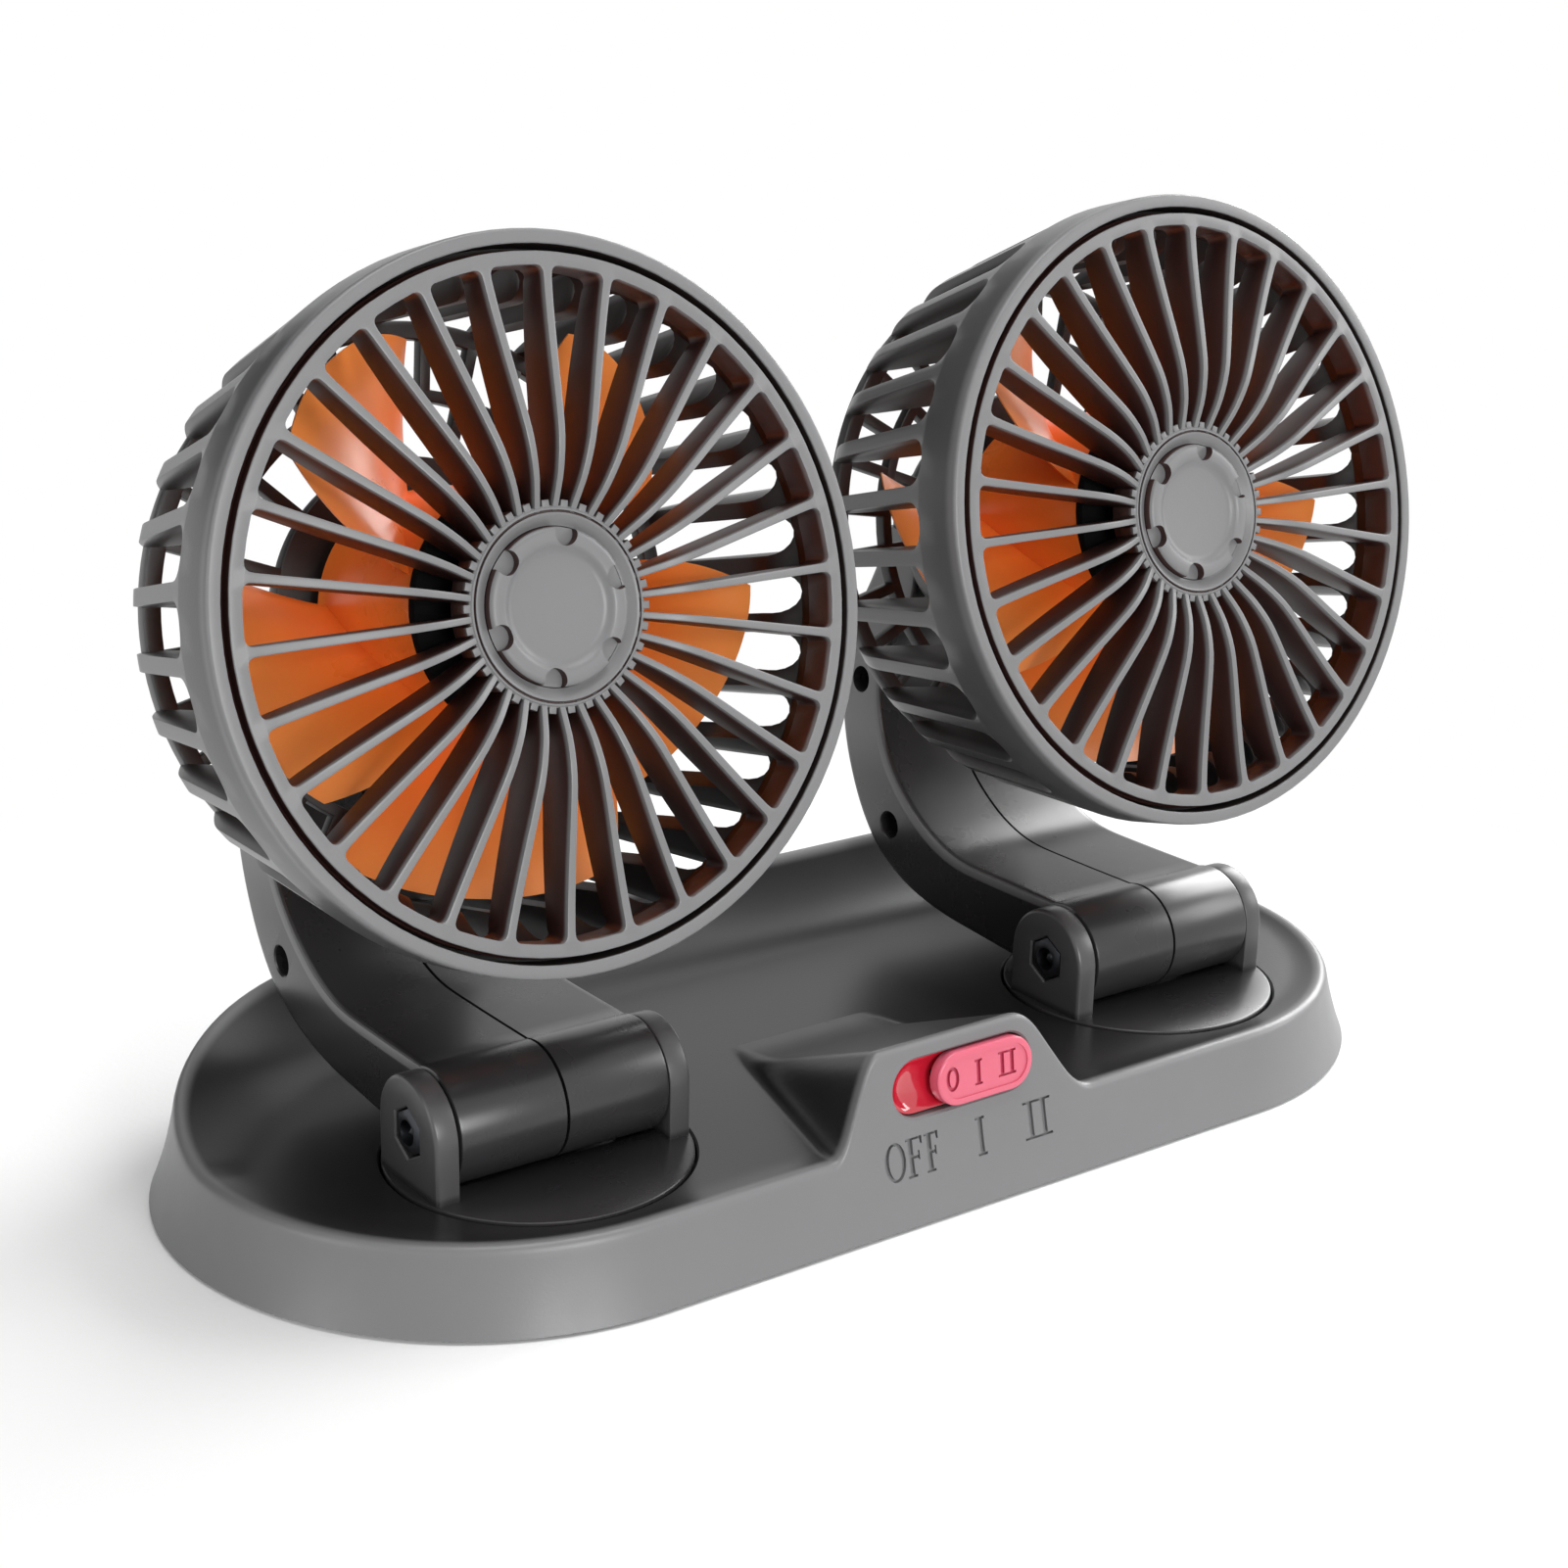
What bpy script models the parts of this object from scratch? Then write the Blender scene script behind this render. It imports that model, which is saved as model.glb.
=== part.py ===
"""Twin-head car fan: two caged fans on swivelling, tilting arms over one weighted base.

Metres, +Z up. The origin is the middle of the footprint, at the height it stands on.
The fans face -Y, and +X is to the right of someone who looks at them from the front.
"""
import math

import bmesh
import bpy
from mathutils import Matrix, Vector

MM = 0.001
GAP = 0.3 * MM
OVERRUN = 4.0 * MM

# Screws: one small size for the base, the swivels, the arms and the heads.
SCREW_SHANK_RADIUS = 1.0 * MM
SCREW_HEAD_RADIUS = 2.2 * MM
SCREW_HEAD_THICK = 1.3 * MM
SCREW_HOLE_RADIUS = SCREW_SHANK_RADIUS + GAP
SCREW_HEAD_HOLE_RADIUS = SCREW_HEAD_RADIUS + GAP
SCREW_TIP_ROOM = 1.0 * MM
SCREW_STEPS = 8

# Heights through the base, from the pad up to the top of the swivelling disc.
PAD_THICK = 1.2 * MM
COVER_BOTTOM = 1.5 * MM
COVER_THICK = 2.0 * MM
COVER_TOP = COVER_BOTTOM + COVER_THICK
UNDER_CLEARANCE = 1.0 * MM
SWIVEL_SCREW_LENGTH = 6.2 * MM
SWIVEL_SCREW_FACE = COVER_TOP + UNDER_CLEARANCE
RETAINER_BOTTOM = SWIVEL_SCREW_FACE + SCREW_HEAD_THICK + GAP
RETAINER_THICK = 1.5 * MM
PIVOT_BOTTOM = RETAINER_BOTTOM + RETAINER_THICK + GAP
PIVOT_PROUD = 0.1 * MM
RECESS_FLOOR_THICK = 2.0 * MM
RECESS_FLOOR_TOP = PIVOT_BOTTOM + PIVOT_PROUD + RECESS_FLOOR_THICK
DISC_THICK = 3.12 * MM
DISC_BOTTOM = RECESS_FLOOR_TOP + GAP
DISC_TOP = DISC_BOTTOM + DISC_THICK
DISC_PROUD = 0.385 * MM
DECK_HEIGHT = DISC_TOP - DISC_PROUD

# The two fan units, alike and placed side by side with a space between their heads.
HEAD_RADIUS = 55.0 * MM
HALF_SPACE_BETWEEN = 10.34 * MM
UNIT_X = HEAD_RADIUS + HALF_SPACE_BETWEEN

# Base: a stadium in plan, flared towards the bottom, its rim rising at the back.
END_INSET = 1.87 * MM
BASE_HALF_STRAIGHT = UNIT_X - END_INSET
SKIRT_CORE_RADIUS = 47.3 * MM
SKIRT_FLARE = 8.03 * MM
SKIRT_FLARE_HEIGHT = 18.15 * MM
SKIRT_FOOT = 0.4 * MM
BASE_WALL = 2.2 * MM
RIM_LIP = 0.99 * MM
RIM_HEIGHT = DECK_HEIGHT + RIM_LIP
RIM_RISE = 10.725 * MM
RIM_RISE_SPAN = SKIRT_CORE_RADIUS + BASE_WALL
RIM_RISE_POWER_SHARE = 1.4
COVE_FRONT = 7.0 * MM
COVE_BACK = 30.0 * MM
DECK_INNER_RADIUS = 4.0 * MM
END_STEPS = 12
PAD_RADIUS = 26.0 * MM
PAD_HALF_STRAIGHT = 52.0 * MM
COVER_CLEARANCE = 0.42 * MM
BOSS_RADIUS = 3.2 * MM
BOSS_ROOF = 2.0 * MM
BASE_SCREW_LENGTH = 8.0 * MM
BASE_SCREW_SINK = 0.2 * MM
# Places in X as shares of the units' distance, and in Y of the skirt's core radius.
BASE_SCREW_PLACE_SHARES = (
    ("front_left", -0.4974, -0.7717),
    ("front_right", 0.4515, -0.7822),
    ("back_left", -0.9489, 0.6554),
    ("back_right", 0.9489, 0.6554),
)

# Switch hump: a wedge that carries the skirt upwards and falls back to the deck.
HUMP_MIDDLE_X = -2.475 * MM
HUMP_HALF_FOOT = 24.8 * MM
HUMP_HALF_TOP_LEFT = 18.6 * MM
HUMP_HALF_TOP_RIGHT = 14.2 * MM
HUMP_TAPER_SHARE = 0.27
HUMP_RISE = 16.995 * MM
HUMP_TOP = DECK_HEIGHT + HUMP_RISE
HUMP_DEPTH_SHARE = 0.81734
HUMP_DEPTH = HUMP_DEPTH_SHARE * SKIRT_CORE_RADIUS
HUMP_BLEND = 2.5 * MM
HUMP_SAMPLE_PITCH = 3.2 * MM
HUMP_SAMPLE_MARGIN = 3.0 * MM

# Slide switch in the hump's front face.
SLOT_BELOW_TOP = 8.11 * MM
SLOT_MIDDLE_HEIGHT = HUMP_TOP - SLOT_BELOW_TOP
SLOT_HALF_LENGTH = 14.465 * MM
SLOT_HALF_HEIGHT = 4.895 * MM
SLOT_CUT_DEPTH = 12.0 * MM
SWITCH_TRAVEL = 8.0 * MM
THUMB_PROUD = 1.2 * MM
BEZEL_SINK = 1.4 * MM
BEZEL_THICK = 1.2 * MM
BEZEL_LIP = 1.2 * MM
STEM_HALF_LENGTH = 3.0 * MM
STEM_HALF_HEIGHT = 1.2 * MM
STEM_REACH = 2.6 * MM
SWITCH_BODY_END = 3.7 * MM
SWITCH_BODY_HALF_LENGTH = STEM_HALF_LENGTH + SWITCH_TRAVEL / 2 + GAP + SWITCH_BODY_END
SWITCH_BODY_HALF_HEIGHT = 2.4 * MM
SWITCH_BODY_DEPTH = 3.8 * MM
SWITCH_BODY_FLOOR = 0.8 * MM
BOARD_OVERHANG = 3.0 * MM
BOARD_HALF_LENGTH = SWITCH_BODY_HALF_LENGTH + BOARD_OVERHANG
BOARD_THICK = 1.6 * MM
BOARD_HEADROOM = 1.87 * MM
BOARD_LEGROOM = 1.6 * MM

# Cable inlet in the back of the skirt, just above the bottom cover.
INLET_RADIUS = 3.4 * MM
INLET_BORE = 1.9 * MM
INLET_FLANGE = 1.4 * MM
INLET_FLANGE_THICK = 0.6 * MM
INLET_CLEARANCE = 0.9 * MM
INLET_HEIGHT = COVER_TOP + INLET_CLEARANCE + INLET_FLANGE + INLET_RADIUS

# Swivelling disc in its recess, near the front of the deck.
DISC_RADIUS = 25.0 * MM
DISC_EDGE_MARGIN = 2.28 * MM
DISC_STEPS = 28
SWIVEL_Y = DISC_RADIUS + DISC_EDGE_MARGIN - SKIRT_CORE_RADIUS
RECESS_WALL = 1.8 * MM
PIVOT_RADIUS = 6.0 * MM
PIVOT_PILOT = 3.6 * MM
RETAINER_LIP = 3.5 * MM
RETAINER_RADIUS = PIVOT_RADIUS + RETAINER_LIP

# Hinge: a barrel on the arm between two ears on the disc.
HINGE_OFFSET = 0.385 * MM
HINGE_Y = SWIVEL_Y + HINGE_OFFSET
BARREL_RADIUS = 9.625 * MM
BARREL_STEPS = 20
SADDLE_DEPTH = 0.77 * MM
HINGE_Z = DISC_TOP + BARREL_RADIUS - SADDLE_DEPTH
TROUGH_CLEARANCE = 0.4 * MM
TROUGH_RADIUS = BARREL_RADIUS + TROUGH_CLEARANCE
EAR_INSET = 1.75 * MM
EAR_OUTER_X = DISC_RADIUS - EAR_INSET
EAR_THICK = 4.0 * MM
EAR_SHORT = 0.385 * MM
EAR_HALF_DEPTH = BARREL_RADIUS - EAR_SHORT
EAR_ROOT = 0.5 * MM
EAR_ROUND_STEPS = 6
ARM_HALF_WIDTH = EAR_OUTER_X - EAR_THICK - GAP
BOLT_RADIUS = 2.0 * MM
BOLT_HEAD_RADIUS = 3.5 * MM
BOLT_HEAD_THICK = 1.8 * MM
BOLT_SINK = 0.2 * MM
BOLT_END_SHORT = 0.8 * MM
BOLT_STEPS = 10
NUT_RADIUS = 4.0 * MM
NUT_THICK = 2.3 * MM
NUT_CLEARANCE = 0.45 * MM
POCKET_DEPTH = 2.6 * MM

# Depths inside the head, from the lip's plane backwards along the head's axis.
HEAD_TILT = math.radians(13.49)
LIP_DEPTH = 6.6 * MM
BAND_DEPTH = 9.35 * MM
HUB_BEHIND_LIP = 2.2 * MM
IMPELLER_HUB_FRONT = LIP_DEPTH + HUB_BEHIND_LIP
BLADE_BEHIND_HUB = 2.2 * MM
BLADE_FRONT = IMPELLER_HUB_FRONT + BLADE_BEHIND_HUB
BLADE_DEPTH = 27.0 * MM
BLADE_BACK = BLADE_FRONT + BLADE_DEPTH
HUB_BEHIND_BLADE = 2.7 * MM
IMPELLER_HUB_BACK = BLADE_BACK + HUB_BEHIND_BLADE
REAR_CLEARANCE = 3.3 * MM
REAR_WALL_FRONT = IMPELLER_HUB_BACK + REAR_CLEARANCE
REAR_WALL_THICK = 2.5 * MM
REAR_WALL_BACK = REAR_WALL_FRONT + REAR_WALL_THICK
MOTOR_BEHIND_HUB = 10.7 * MM
MOTOR_FRONT = IMPELLER_HUB_FRONT + MOTOR_BEHIND_HUB
SHAFT_BEHIND_HUB = 2.5 * MM
SHAFT_FRONT = IMPELLER_HUB_FRONT + SHAFT_BEHIND_HUB
SHAFT_IN_MOTOR = 7.5 * MM
SHAFT_BACK = MOTOR_FRONT + SHAFT_IN_MOTOR
SHAFT_END_ROOM = 1.0 * MM
IMPELLER_BOSS_SHORT = 3.0 * MM
IMPELLER_BOSS_BACK = MOTOR_FRONT - IMPELLER_BOSS_SHORT
COVER_CUP_DEPTH = 14.0 * MM
COVER_CUP_BACK = REAR_WALL_BACK + COVER_CUP_DEPTH
COVER_CUP_WALL = 1.8 * MM
COVER_CUP_ROUND = 2.0 * MM
HEAD_BOSS_SHORT = 2.5 * MM
HEAD_BOSS_BACK = COVER_CUP_BACK - HEAD_BOSS_SHORT
ARM_PAD_THICK = 8.8 * MM
ARM_PAD_FRONT = COVER_CUP_BACK + GAP
ARM_PAD_BACK = ARM_PAD_FRONT + ARM_PAD_THICK
HEAD_SCREW_SINK = 3.6 * MM
HEAD_SCREW_LENGTH = 15.0 * MM
HEAD_SCREW_ACCESS = 8.0 * MM

# Radii of the head's pieces: the ones at the rim follow the head's own radius.
HEAD_STEPS = 32
HEAD_CHAMFER = 0.8 * MM
LIP_WALL = 2.475 * MM
LIP_INNER = HEAD_RADIUS - LIP_WALL
LEDGE_STEP = 2.2 * MM
LEDGE_INNER = LIP_INNER - LEDGE_STEP
LEDGE_THICK = 2.4 * MM
REAR_TAPER = 6.16 * MM
REAR_RADIUS = HEAD_RADIUS - REAR_TAPER
REAR_ROUND = 1.7 * MM
HOOP_INSET = 2.365 * MM
HOOP_OUTER = REAR_RADIUS - HOOP_INSET
HOOP_DRAFT = 0.2 * MM
FIN_COUNT = 32
FIN_PHASE = math.radians(1.4)
SLOT_WIDTH = 6.6 * MM
TIP_CLEARANCE = 1.925 * MM
BLADE_TIP = HOOP_OUTER - TIP_CLEARANCE
IMPELLER_HUB_RADIUS = 19.525 * MM
IMPELLER_WALL = 1.6 * MM
IMPELLER_ROUND = 1.0 * MM
IMPELLER_BOSS_RADIUS = 3.0 * MM
MOTOR_CLEARANCE = 5.425 * MM
MOTOR_RADIUS = IMPELLER_HUB_RADIUS - IMPELLER_WALL - MOTOR_CLEARANCE
MOTOR_NUB_RADIUS = 3.0 * MM
SHAFT_RADIUS = 1.0 * MM
COVER_CUP_RADIUS = 20.02 * MM
HEAD_SCREW_X = 7.6 * MM
HEAD_BOSS_RADIUS = 2.7 * MM
ARM_PAD_RADIUS = 14.025 * MM

# Rear grille: two rings of windows between the motor cover and the hoop.
WINDOW_COVER_MARGIN = 4.98 * MM
WINDOW_HOOP_MARGIN = 2.875 * MM
WINDOW_INNER = COVER_CUP_RADIUS + WINDOW_COVER_MARGIN
WINDOW_OUTER = HOOP_OUTER - WINDOW_HOOP_MARGIN
WINDOW_DIVIDER_SHARE = 0.527
WINDOW_DIVIDER_HALF = 1.0 * MM
WINDOW_DIVIDER = WINDOW_INNER + (WINDOW_OUTER - WINDOW_INNER) * WINDOW_DIVIDER_SHARE
SPOKE_WIDTH_REAR = 2.0 * MM
INNER_WINDOWS = 16
OUTER_WINDOWS = 32

# Front grille of thirty blade-like spokes that bow slightly forwards.
GRILLE_CLEARANCE = 0.45 * MM
GRILLE_OUTER = LIP_INNER - GRILLE_CLEARANCE
GRILLE_LEDGE_COVER = 1.155 * MM
GRILLE_INNER = LEDGE_INNER - GRILLE_LEDGE_COVER
GRILLE_DEPTH = LIP_DEPTH - GAP
GRILLE_SPOKES = 30
GRILLE_HUB_RADIUS = 14.85 * MM
GRILLE_HUB_DEPTH = 6.2 * MM
CAP_INSET = 2.64 * MM
CAP_RADIUS = GRILLE_HUB_RADIUS - CAP_INSET
CAP_SINK = 1.9 * MM
CAP_PROUD = 0.5 * MM
CAP_NOTCHES = 6
CAP_NOTCH_RADIUS = 1.5 * MM
CAP_NOTCH_FLOOR = 0.5 * MM
SPOKE_ROOT = 1.65 * MM
SPOKE_TIP = 1.43 * MM
# Place from root to tip, then front edge, back edge and width as shares of the depth.
GRILLE_STATION_SHARES = (
    (0.0000, -0.035, 0.742, 0.157),
    (0.3088, 0.419, 0.611, 0.183),
    (1.0000, -0.035, 0.873, 0.236),
)

# Impeller of five broad blades on a cup that turns round the motor.
BLADE_COUNT = 5
BLADE_ROOT_SWEEP = math.radians(60.6)
BLADE_TIP_SWEEP = math.radians(51.5)
BLADE_TIP_LAG = math.radians(12.4)
BLADE_PHASE = math.radians(56.3)
BLADE_THICK = 1.5 * MM

# The head hangs over the hinge, clear of the deck whatever its radius is.
HEAD_OVERHANG = 7.2545 * MM
HEAD_CLEARANCE = 28.374 * MM
HEAD_Y = SWIVEL_Y - HEAD_OVERHANG
HEAD_Z = HINGE_Z + HEAD_CLEARANCE + HEAD_RADIUS * math.cos(HEAD_TILT)
ARM_REACH = HEAD_Y + ARM_PAD_BACK * math.cos(HEAD_TILT) - HINGE_Y
ARM_RISE = HEAD_Z - HINGE_Z

# Arm: two hollow halves that meet at the middle plane. Each station gives the front
# or top edge, then the rear or under edge, from the hinge as shares of the arm's reach
# and rise, and the half width as a share of the full one.
ARM_STATION_SHARES = (
    (-0.0027, 0.1122, 0.0522, -0.0706, 1.00),
    (0.3270, 0.1082, 0.3728, -0.0558, 1.00),
    (0.5102, 0.1109, 0.5835, -0.0437, 1.00),
    (0.6357, 0.1357, 0.7393, -0.0202, 1.00),
    (0.7393, 0.1781, 0.8583, 0.0168, 1.00),
    (0.8217, 0.2284, 0.9591, 0.0706, 1.00),
    (0.8858, 0.2889, 1.0507, 0.1646, 1.00),
    (0.9316, 0.3729, 1.1194, 0.2923, 1.00),
    (0.9545, 0.4603, 1.1469, 0.4199, 0.98),
    (0.9316, 0.5678, 1.1286, 0.5812, 0.92),
)
# The arm's end lies along the pad: depths from the pad's front as shares of its
# thickness, and heights from its middle as shares of its radius.
ARM_END_SHARES = (
    (0.3490, -0.8969, 1.5390, -0.3951, 0.84),
    (0.0003, -0.0017, 1.0444, 0.1757, 0.78),
)
ARM_WALL = 1.8 * MM
ARM_ROUND = 1.3 * MM
SEAM_HALF_GAP = 0.2 * MM
PILLAR_RADIUS = 4.1 * MM
PILLAR_SHORT = 1.2 * MM
ARM_SCREW_PLACE_SHARES = (("lower", 0.8638, 0.1209), ("upper", 1.0461, 0.4535))
ARM_SCREW_SINK = 9.0 * MM
ARM_SCREW_SHORT = 9.9 * MM
ARM_SCREW_LENGTH = 2 * ARM_HALF_WIDTH - ARM_SCREW_SINK - ARM_SCREW_SHORT
ARM_HOLE_RADIUS = 2.6 * MM

GREY_COLOUR = (0.105, 0.105, 0.105)
DARK_COLOUR = (0.045, 0.045, 0.045)
BLACK_COLOUR = (0.012, 0.012, 0.012)
ORANGE_COLOUR = (0.750, 0.130, 0.015)
PINK_COLOUR = (0.870, 0.190, 0.240)
RED_COLOUR = (0.420, 0.015, 0.030)
STEEL_COLOUR = (0.500, 0.500, 0.500)
GREEN_COLOUR = (0.020, 0.160, 0.060)


def clear_scene():
    for item in list(bpy.data.objects):
        bpy.data.objects.remove(item, do_unlink=True)


def make_collection(name):
    group = bpy.data.collections.new(name)
    bpy.context.scene.collection.children.link(group)
    return group


clear_scene()
PARTS = make_collection("twin_head_car_fan")
CUTTERS = make_collection("cutters")


def make_material(name, colour, roughness, metallic=0.0):
    material = bpy.data.materials.new(name)
    material.use_nodes = True
    shader = material.node_tree.nodes["Principled BSDF"]
    shader.inputs["Base Color"].default_value = (*colour, 1.0)
    shader.inputs["Roughness"].default_value = roughness
    shader.inputs["Metallic"].default_value = metallic
    return material


def tool_object(name, mesh, matrix=None):
    """A working object in the cutters collection, hidden from renders."""
    item = bpy.data.objects.new(name, mesh)
    item.hide_render = True
    item.display_type = "WIRE"
    if matrix is not None:
        item.matrix_world = matrix
    CUTTERS.objects.link(item)
    return item


def mesh_from(build):
    """A mesh filled by a function that draws into a bmesh."""
    shape = bmesh.new()
    build(shape)
    bmesh.ops.recalc_face_normals(shape, faces=shape.faces)
    mesh = bpy.data.meshes.new("shape")
    shape.to_mesh(mesh)
    shape.free()
    return mesh


def box(low, high):
    size = Vector(high) - Vector(low)
    middle = (Vector(high) + Vector(low)) / 2
    place = Matrix.Translation(middle) @ Matrix.Diagonal((*size, 1.0))

    def build(shape):
        bmesh.ops.create_cube(shape, size=1.0, matrix=place)

    return tool_object("box", mesh_from(build))


def rod(radius, start, end, steps=24, turn=0.0):
    """A cylinder between two points."""
    start = Vector(start)
    end = Vector(end)
    along = end - start
    spin = along.to_track_quat("Z", "Y").to_matrix().to_4x4()
    place = Matrix.Translation((start + end) / 2) @ spin @ Matrix.Rotation(turn, 4, "Z")

    def build(shape):
        bmesh.ops.create_cone(
            shape, cap_ends=True, segments=steps, radius1=radius, radius2=radius,
            depth=along.length, matrix=place)

    return tool_object("rod", mesh_from(build))


def turned(profile, steps, closed=False, place=None):
    """A profile of (radius, height) points, top to bottom on its outer side."""
    mesh = bpy.data.meshes.new("profile")
    edges = [(index, index + 1) for index in range(len(profile) - 1)]
    if closed:
        edges.append((len(profile) - 1, 0))
    mesh.from_pydata([(radius, 0.0, height) for radius, height in profile], edges, [])
    item = tool_object("turned", mesh, place)
    screw = item.modifiers.new("turn", "SCREW")
    screw.axis = "Z"
    screw.angle = 2 * math.pi
    screw.steps = steps
    screw.render_steps = steps
    screw.use_merge_vertices = True
    screw.merge_threshold = 0.00001
    return item


def plate(outline, low, high, place=None):
    """A flat outline in X and Y, filled and thickened from low to high in Z."""
    curve = bpy.data.curves.new("outline", "CURVE")
    curve.dimensions = "2D"
    curve.fill_mode = "BOTH"
    curve.extrude = (high - low) / 2
    line = curve.splines.new("POLY")
    line.points.add(len(outline) - 1)
    for point, (along, across) in zip(line.points, outline):
        point.co = (along, across, 0.0, 1.0)
    line.use_cyclic_u = True
    source = bpy.data.objects.new("outline", curve)
    CUTTERS.objects.link(source)
    bpy.context.view_layer.update()
    graph = bpy.context.evaluated_depsgraph_get()
    mesh = bpy.data.meshes.new_from_object(source.evaluated_get(graph))
    bpy.data.objects.remove(source)
    shape = bmesh.new()
    shape.from_mesh(mesh)
    bmesh.ops.remove_doubles(shape, verts=shape.verts, dist=0.000005)
    bmesh.ops.translate(shape, verts=shape.verts, vec=(0.0, 0.0, (high + low) / 2))
    bmesh.ops.recalc_face_normals(shape, faces=shape.faces)
    shape.to_mesh(mesh)
    shape.free()
    return tool_object("plate", mesh, place)


def evaluated_mesh(item):
    bpy.context.view_layer.update()
    graph = bpy.context.evaluated_depsgraph_get()
    mesh = bpy.data.meshes.new_from_object(item.evaluated_get(graph))
    mesh.transform(item.matrix_world)
    return mesh


def combined(target, others, operation):
    """Cuts or joins others with target, and leaves one plain working object."""
    for other in others:
        step = target.modifiers.new(operation.lower(), "BOOLEAN")
        step.operation = operation
        step.object = other
        step.solver = "EXACT"
    mesh = evaluated_mesh(target)
    for used in [target, *others]:
        bpy.data.objects.remove(used)
    shape = bmesh.new()
    shape.from_mesh(mesh)
    bmesh.ops.remove_doubles(shape, verts=shape.verts, dist=0.000002)
    bmesh.ops.dissolve_degenerate(shape, edges=shape.edges, dist=0.000002)
    shape.to_mesh(mesh)
    shape.free()
    return tool_object("combined", mesh)


def cut(target, *others):
    return combined(target, others, "DIFFERENCE")


def join(target, *others):
    return combined(target, others, "UNION")


def bundle(items):
    """Several separate shapes as one working object, for a repeated cut or join."""
    shape = bmesh.new()
    for item in items:
        mesh = evaluated_mesh(item)
        shape.from_mesh(mesh)
        bpy.data.objects.remove(item)
    mesh = bpy.data.meshes.new("bundle")
    shape.to_mesh(mesh)
    shape.free()
    return tool_object("bundle", mesh)


def finished(item):
    """The working object's mesh, with round surfaces shaded smooth."""
    mesh = evaluated_mesh(item)
    bpy.data.objects.remove(item)
    shape = bmesh.new()
    shape.from_mesh(mesh)
    bmesh.ops.dissolve_limit(
        shape, angle_limit=math.radians(0.05), verts=shape.verts, edges=shape.edges)
    shape.to_mesh(mesh)
    shape.free()
    mesh.shade_smooth()
    mesh.set_sharp_from_angle(angle=math.radians(32.0))
    return mesh


def place_part(name, mesh, material, parent=None, offset=(0.0, 0.0, 0.0)):
    mesh.materials.clear()
    mesh.materials.append(material)
    item = bpy.data.objects.new(name, mesh)
    item.location = offset
    item.parent = parent
    PARTS.objects.link(item)
    return item


def stadium(half_straight, radius, steps=12):
    points = []
    for side in (1, -1):
        for index in range(steps + 1):
            angle = math.pi * index / steps - math.pi / 2
            points.append((
                side * (half_straight + radius * math.cos(angle)),
                side * radius * math.sin(angle)))
    return points


def smooth_max(first, second, blend):
    overlap = max(0.0, blend - abs(first - second))
    return max(first, second) + overlap * overlap / (4 * blend)


def smooth_min(first, second, blend):
    return -smooth_max(-first, -second, blend)


def share_of(value, low, high):
    return min(1.0, max(0.0, (value - low) / (high - low)))


def skirt_radius(height):
    """The base's outer radius at a height: the skirt flares towards its foot."""
    return SKIRT_CORE_RADIUS + SKIRT_FLARE * math.exp(-height / SKIRT_FLARE_HEIGHT)


def skirt_lean(height):
    """The skirt's lean from upright at a height."""
    steepness = SKIRT_FLARE / SKIRT_FLARE_HEIGHT * math.exp(-height / SKIRT_FLARE_HEIGHT)
    return math.atan(steepness)


def plain_rim(y):
    """The rim's height without the hump: level in front, climbing behind."""
    climb = share_of(y, 0.0, RIM_RISE_SPAN) ** RIM_RISE_POWER_SHARE
    return RIM_HEIGHT + RIM_RISE * climb


def roof_height(y):
    """The hump's roof falls evenly from its front edge to the deck behind it."""
    behind = y + skirt_radius(HUMP_TOP)
    return HUMP_TOP - behind * HUMP_RISE / HUMP_DEPTH


def hump_height(x, y):
    """The wedge round the switch: a sloping roof between two sides that near each other."""
    roof = roof_height(y)
    beside = x - HUMP_MIDDLE_X
    half_top = HUMP_HALF_TOP_LEFT if beside < 0 else HUMP_HALF_TOP_RIGHT
    steep = (HUMP_TOP - RIM_HEIGHT) / (HUMP_HALF_FOOT - half_top)
    half_foot = HUMP_HALF_FOOT - HUMP_TAPER_SHARE * (y + skirt_radius(HUMP_TOP))
    side = RIM_HEIGHT + (half_foot - abs(beside)) * steep
    return smooth_min(roof, side, HUMP_BLEND)


def top_height(x, y, inwards):
    """The top skin's height, inwards from the rim by the given distance."""
    cove = COVE_FRONT + (COVE_BACK - COVE_FRONT) * share_of(y, 0.0, RIM_RISE_SPAN) ** 0.5
    left = 1.0 - share_of(inwards, 0.0, cove)
    deck = DECK_HEIGHT + (plain_rim(y) - DECK_HEIGHT) * left * left
    return smooth_max(deck, hump_height(x, y), HUMP_BLEND)


def rim_of(middle_x, across):
    """The rim's radius and height in one direction, found by repeating."""
    height = RIM_HEIGHT
    for _ in range(6):
        radius = skirt_radius(height)
        height = top_height(middle_x, radius * across, 0.0)
    return radius, height


def outline_samples():
    """Places round the stadium: the arc's centre, and the direction outwards."""
    samples = []
    reach = HUMP_HALF_FOOT + HUMP_SAMPLE_MARGIN
    count = round(2 * reach / HUMP_SAMPLE_PITCH)
    front = [-BASE_HALF_STRAIGHT, -0.7 * BASE_HALF_STRAIGHT]
    front += [HUMP_MIDDLE_X - reach + 2 * reach * step / count for step in range(count + 1)]
    front += [0.7 * BASE_HALF_STRAIGHT, BASE_HALF_STRAIGHT]
    samples += [(x, 0.0, -1.0) for x in front]
    for step in range(1, END_STEPS):
        angle = math.pi * step / END_STEPS - math.pi / 2
        samples.append((BASE_HALF_STRAIGHT, math.cos(angle), math.sin(angle)))
    samples += [(BASE_HALF_STRAIGHT * share, 0.0, 1.0) for share in (1.0, 0.0, -1.0)]
    for step in range(1, END_STEPS):
        angle = math.pi * step / END_STEPS + math.pi / 2
        samples.append((-BASE_HALF_STRAIGHT, math.cos(angle), math.sin(angle)))
    return samples


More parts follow.
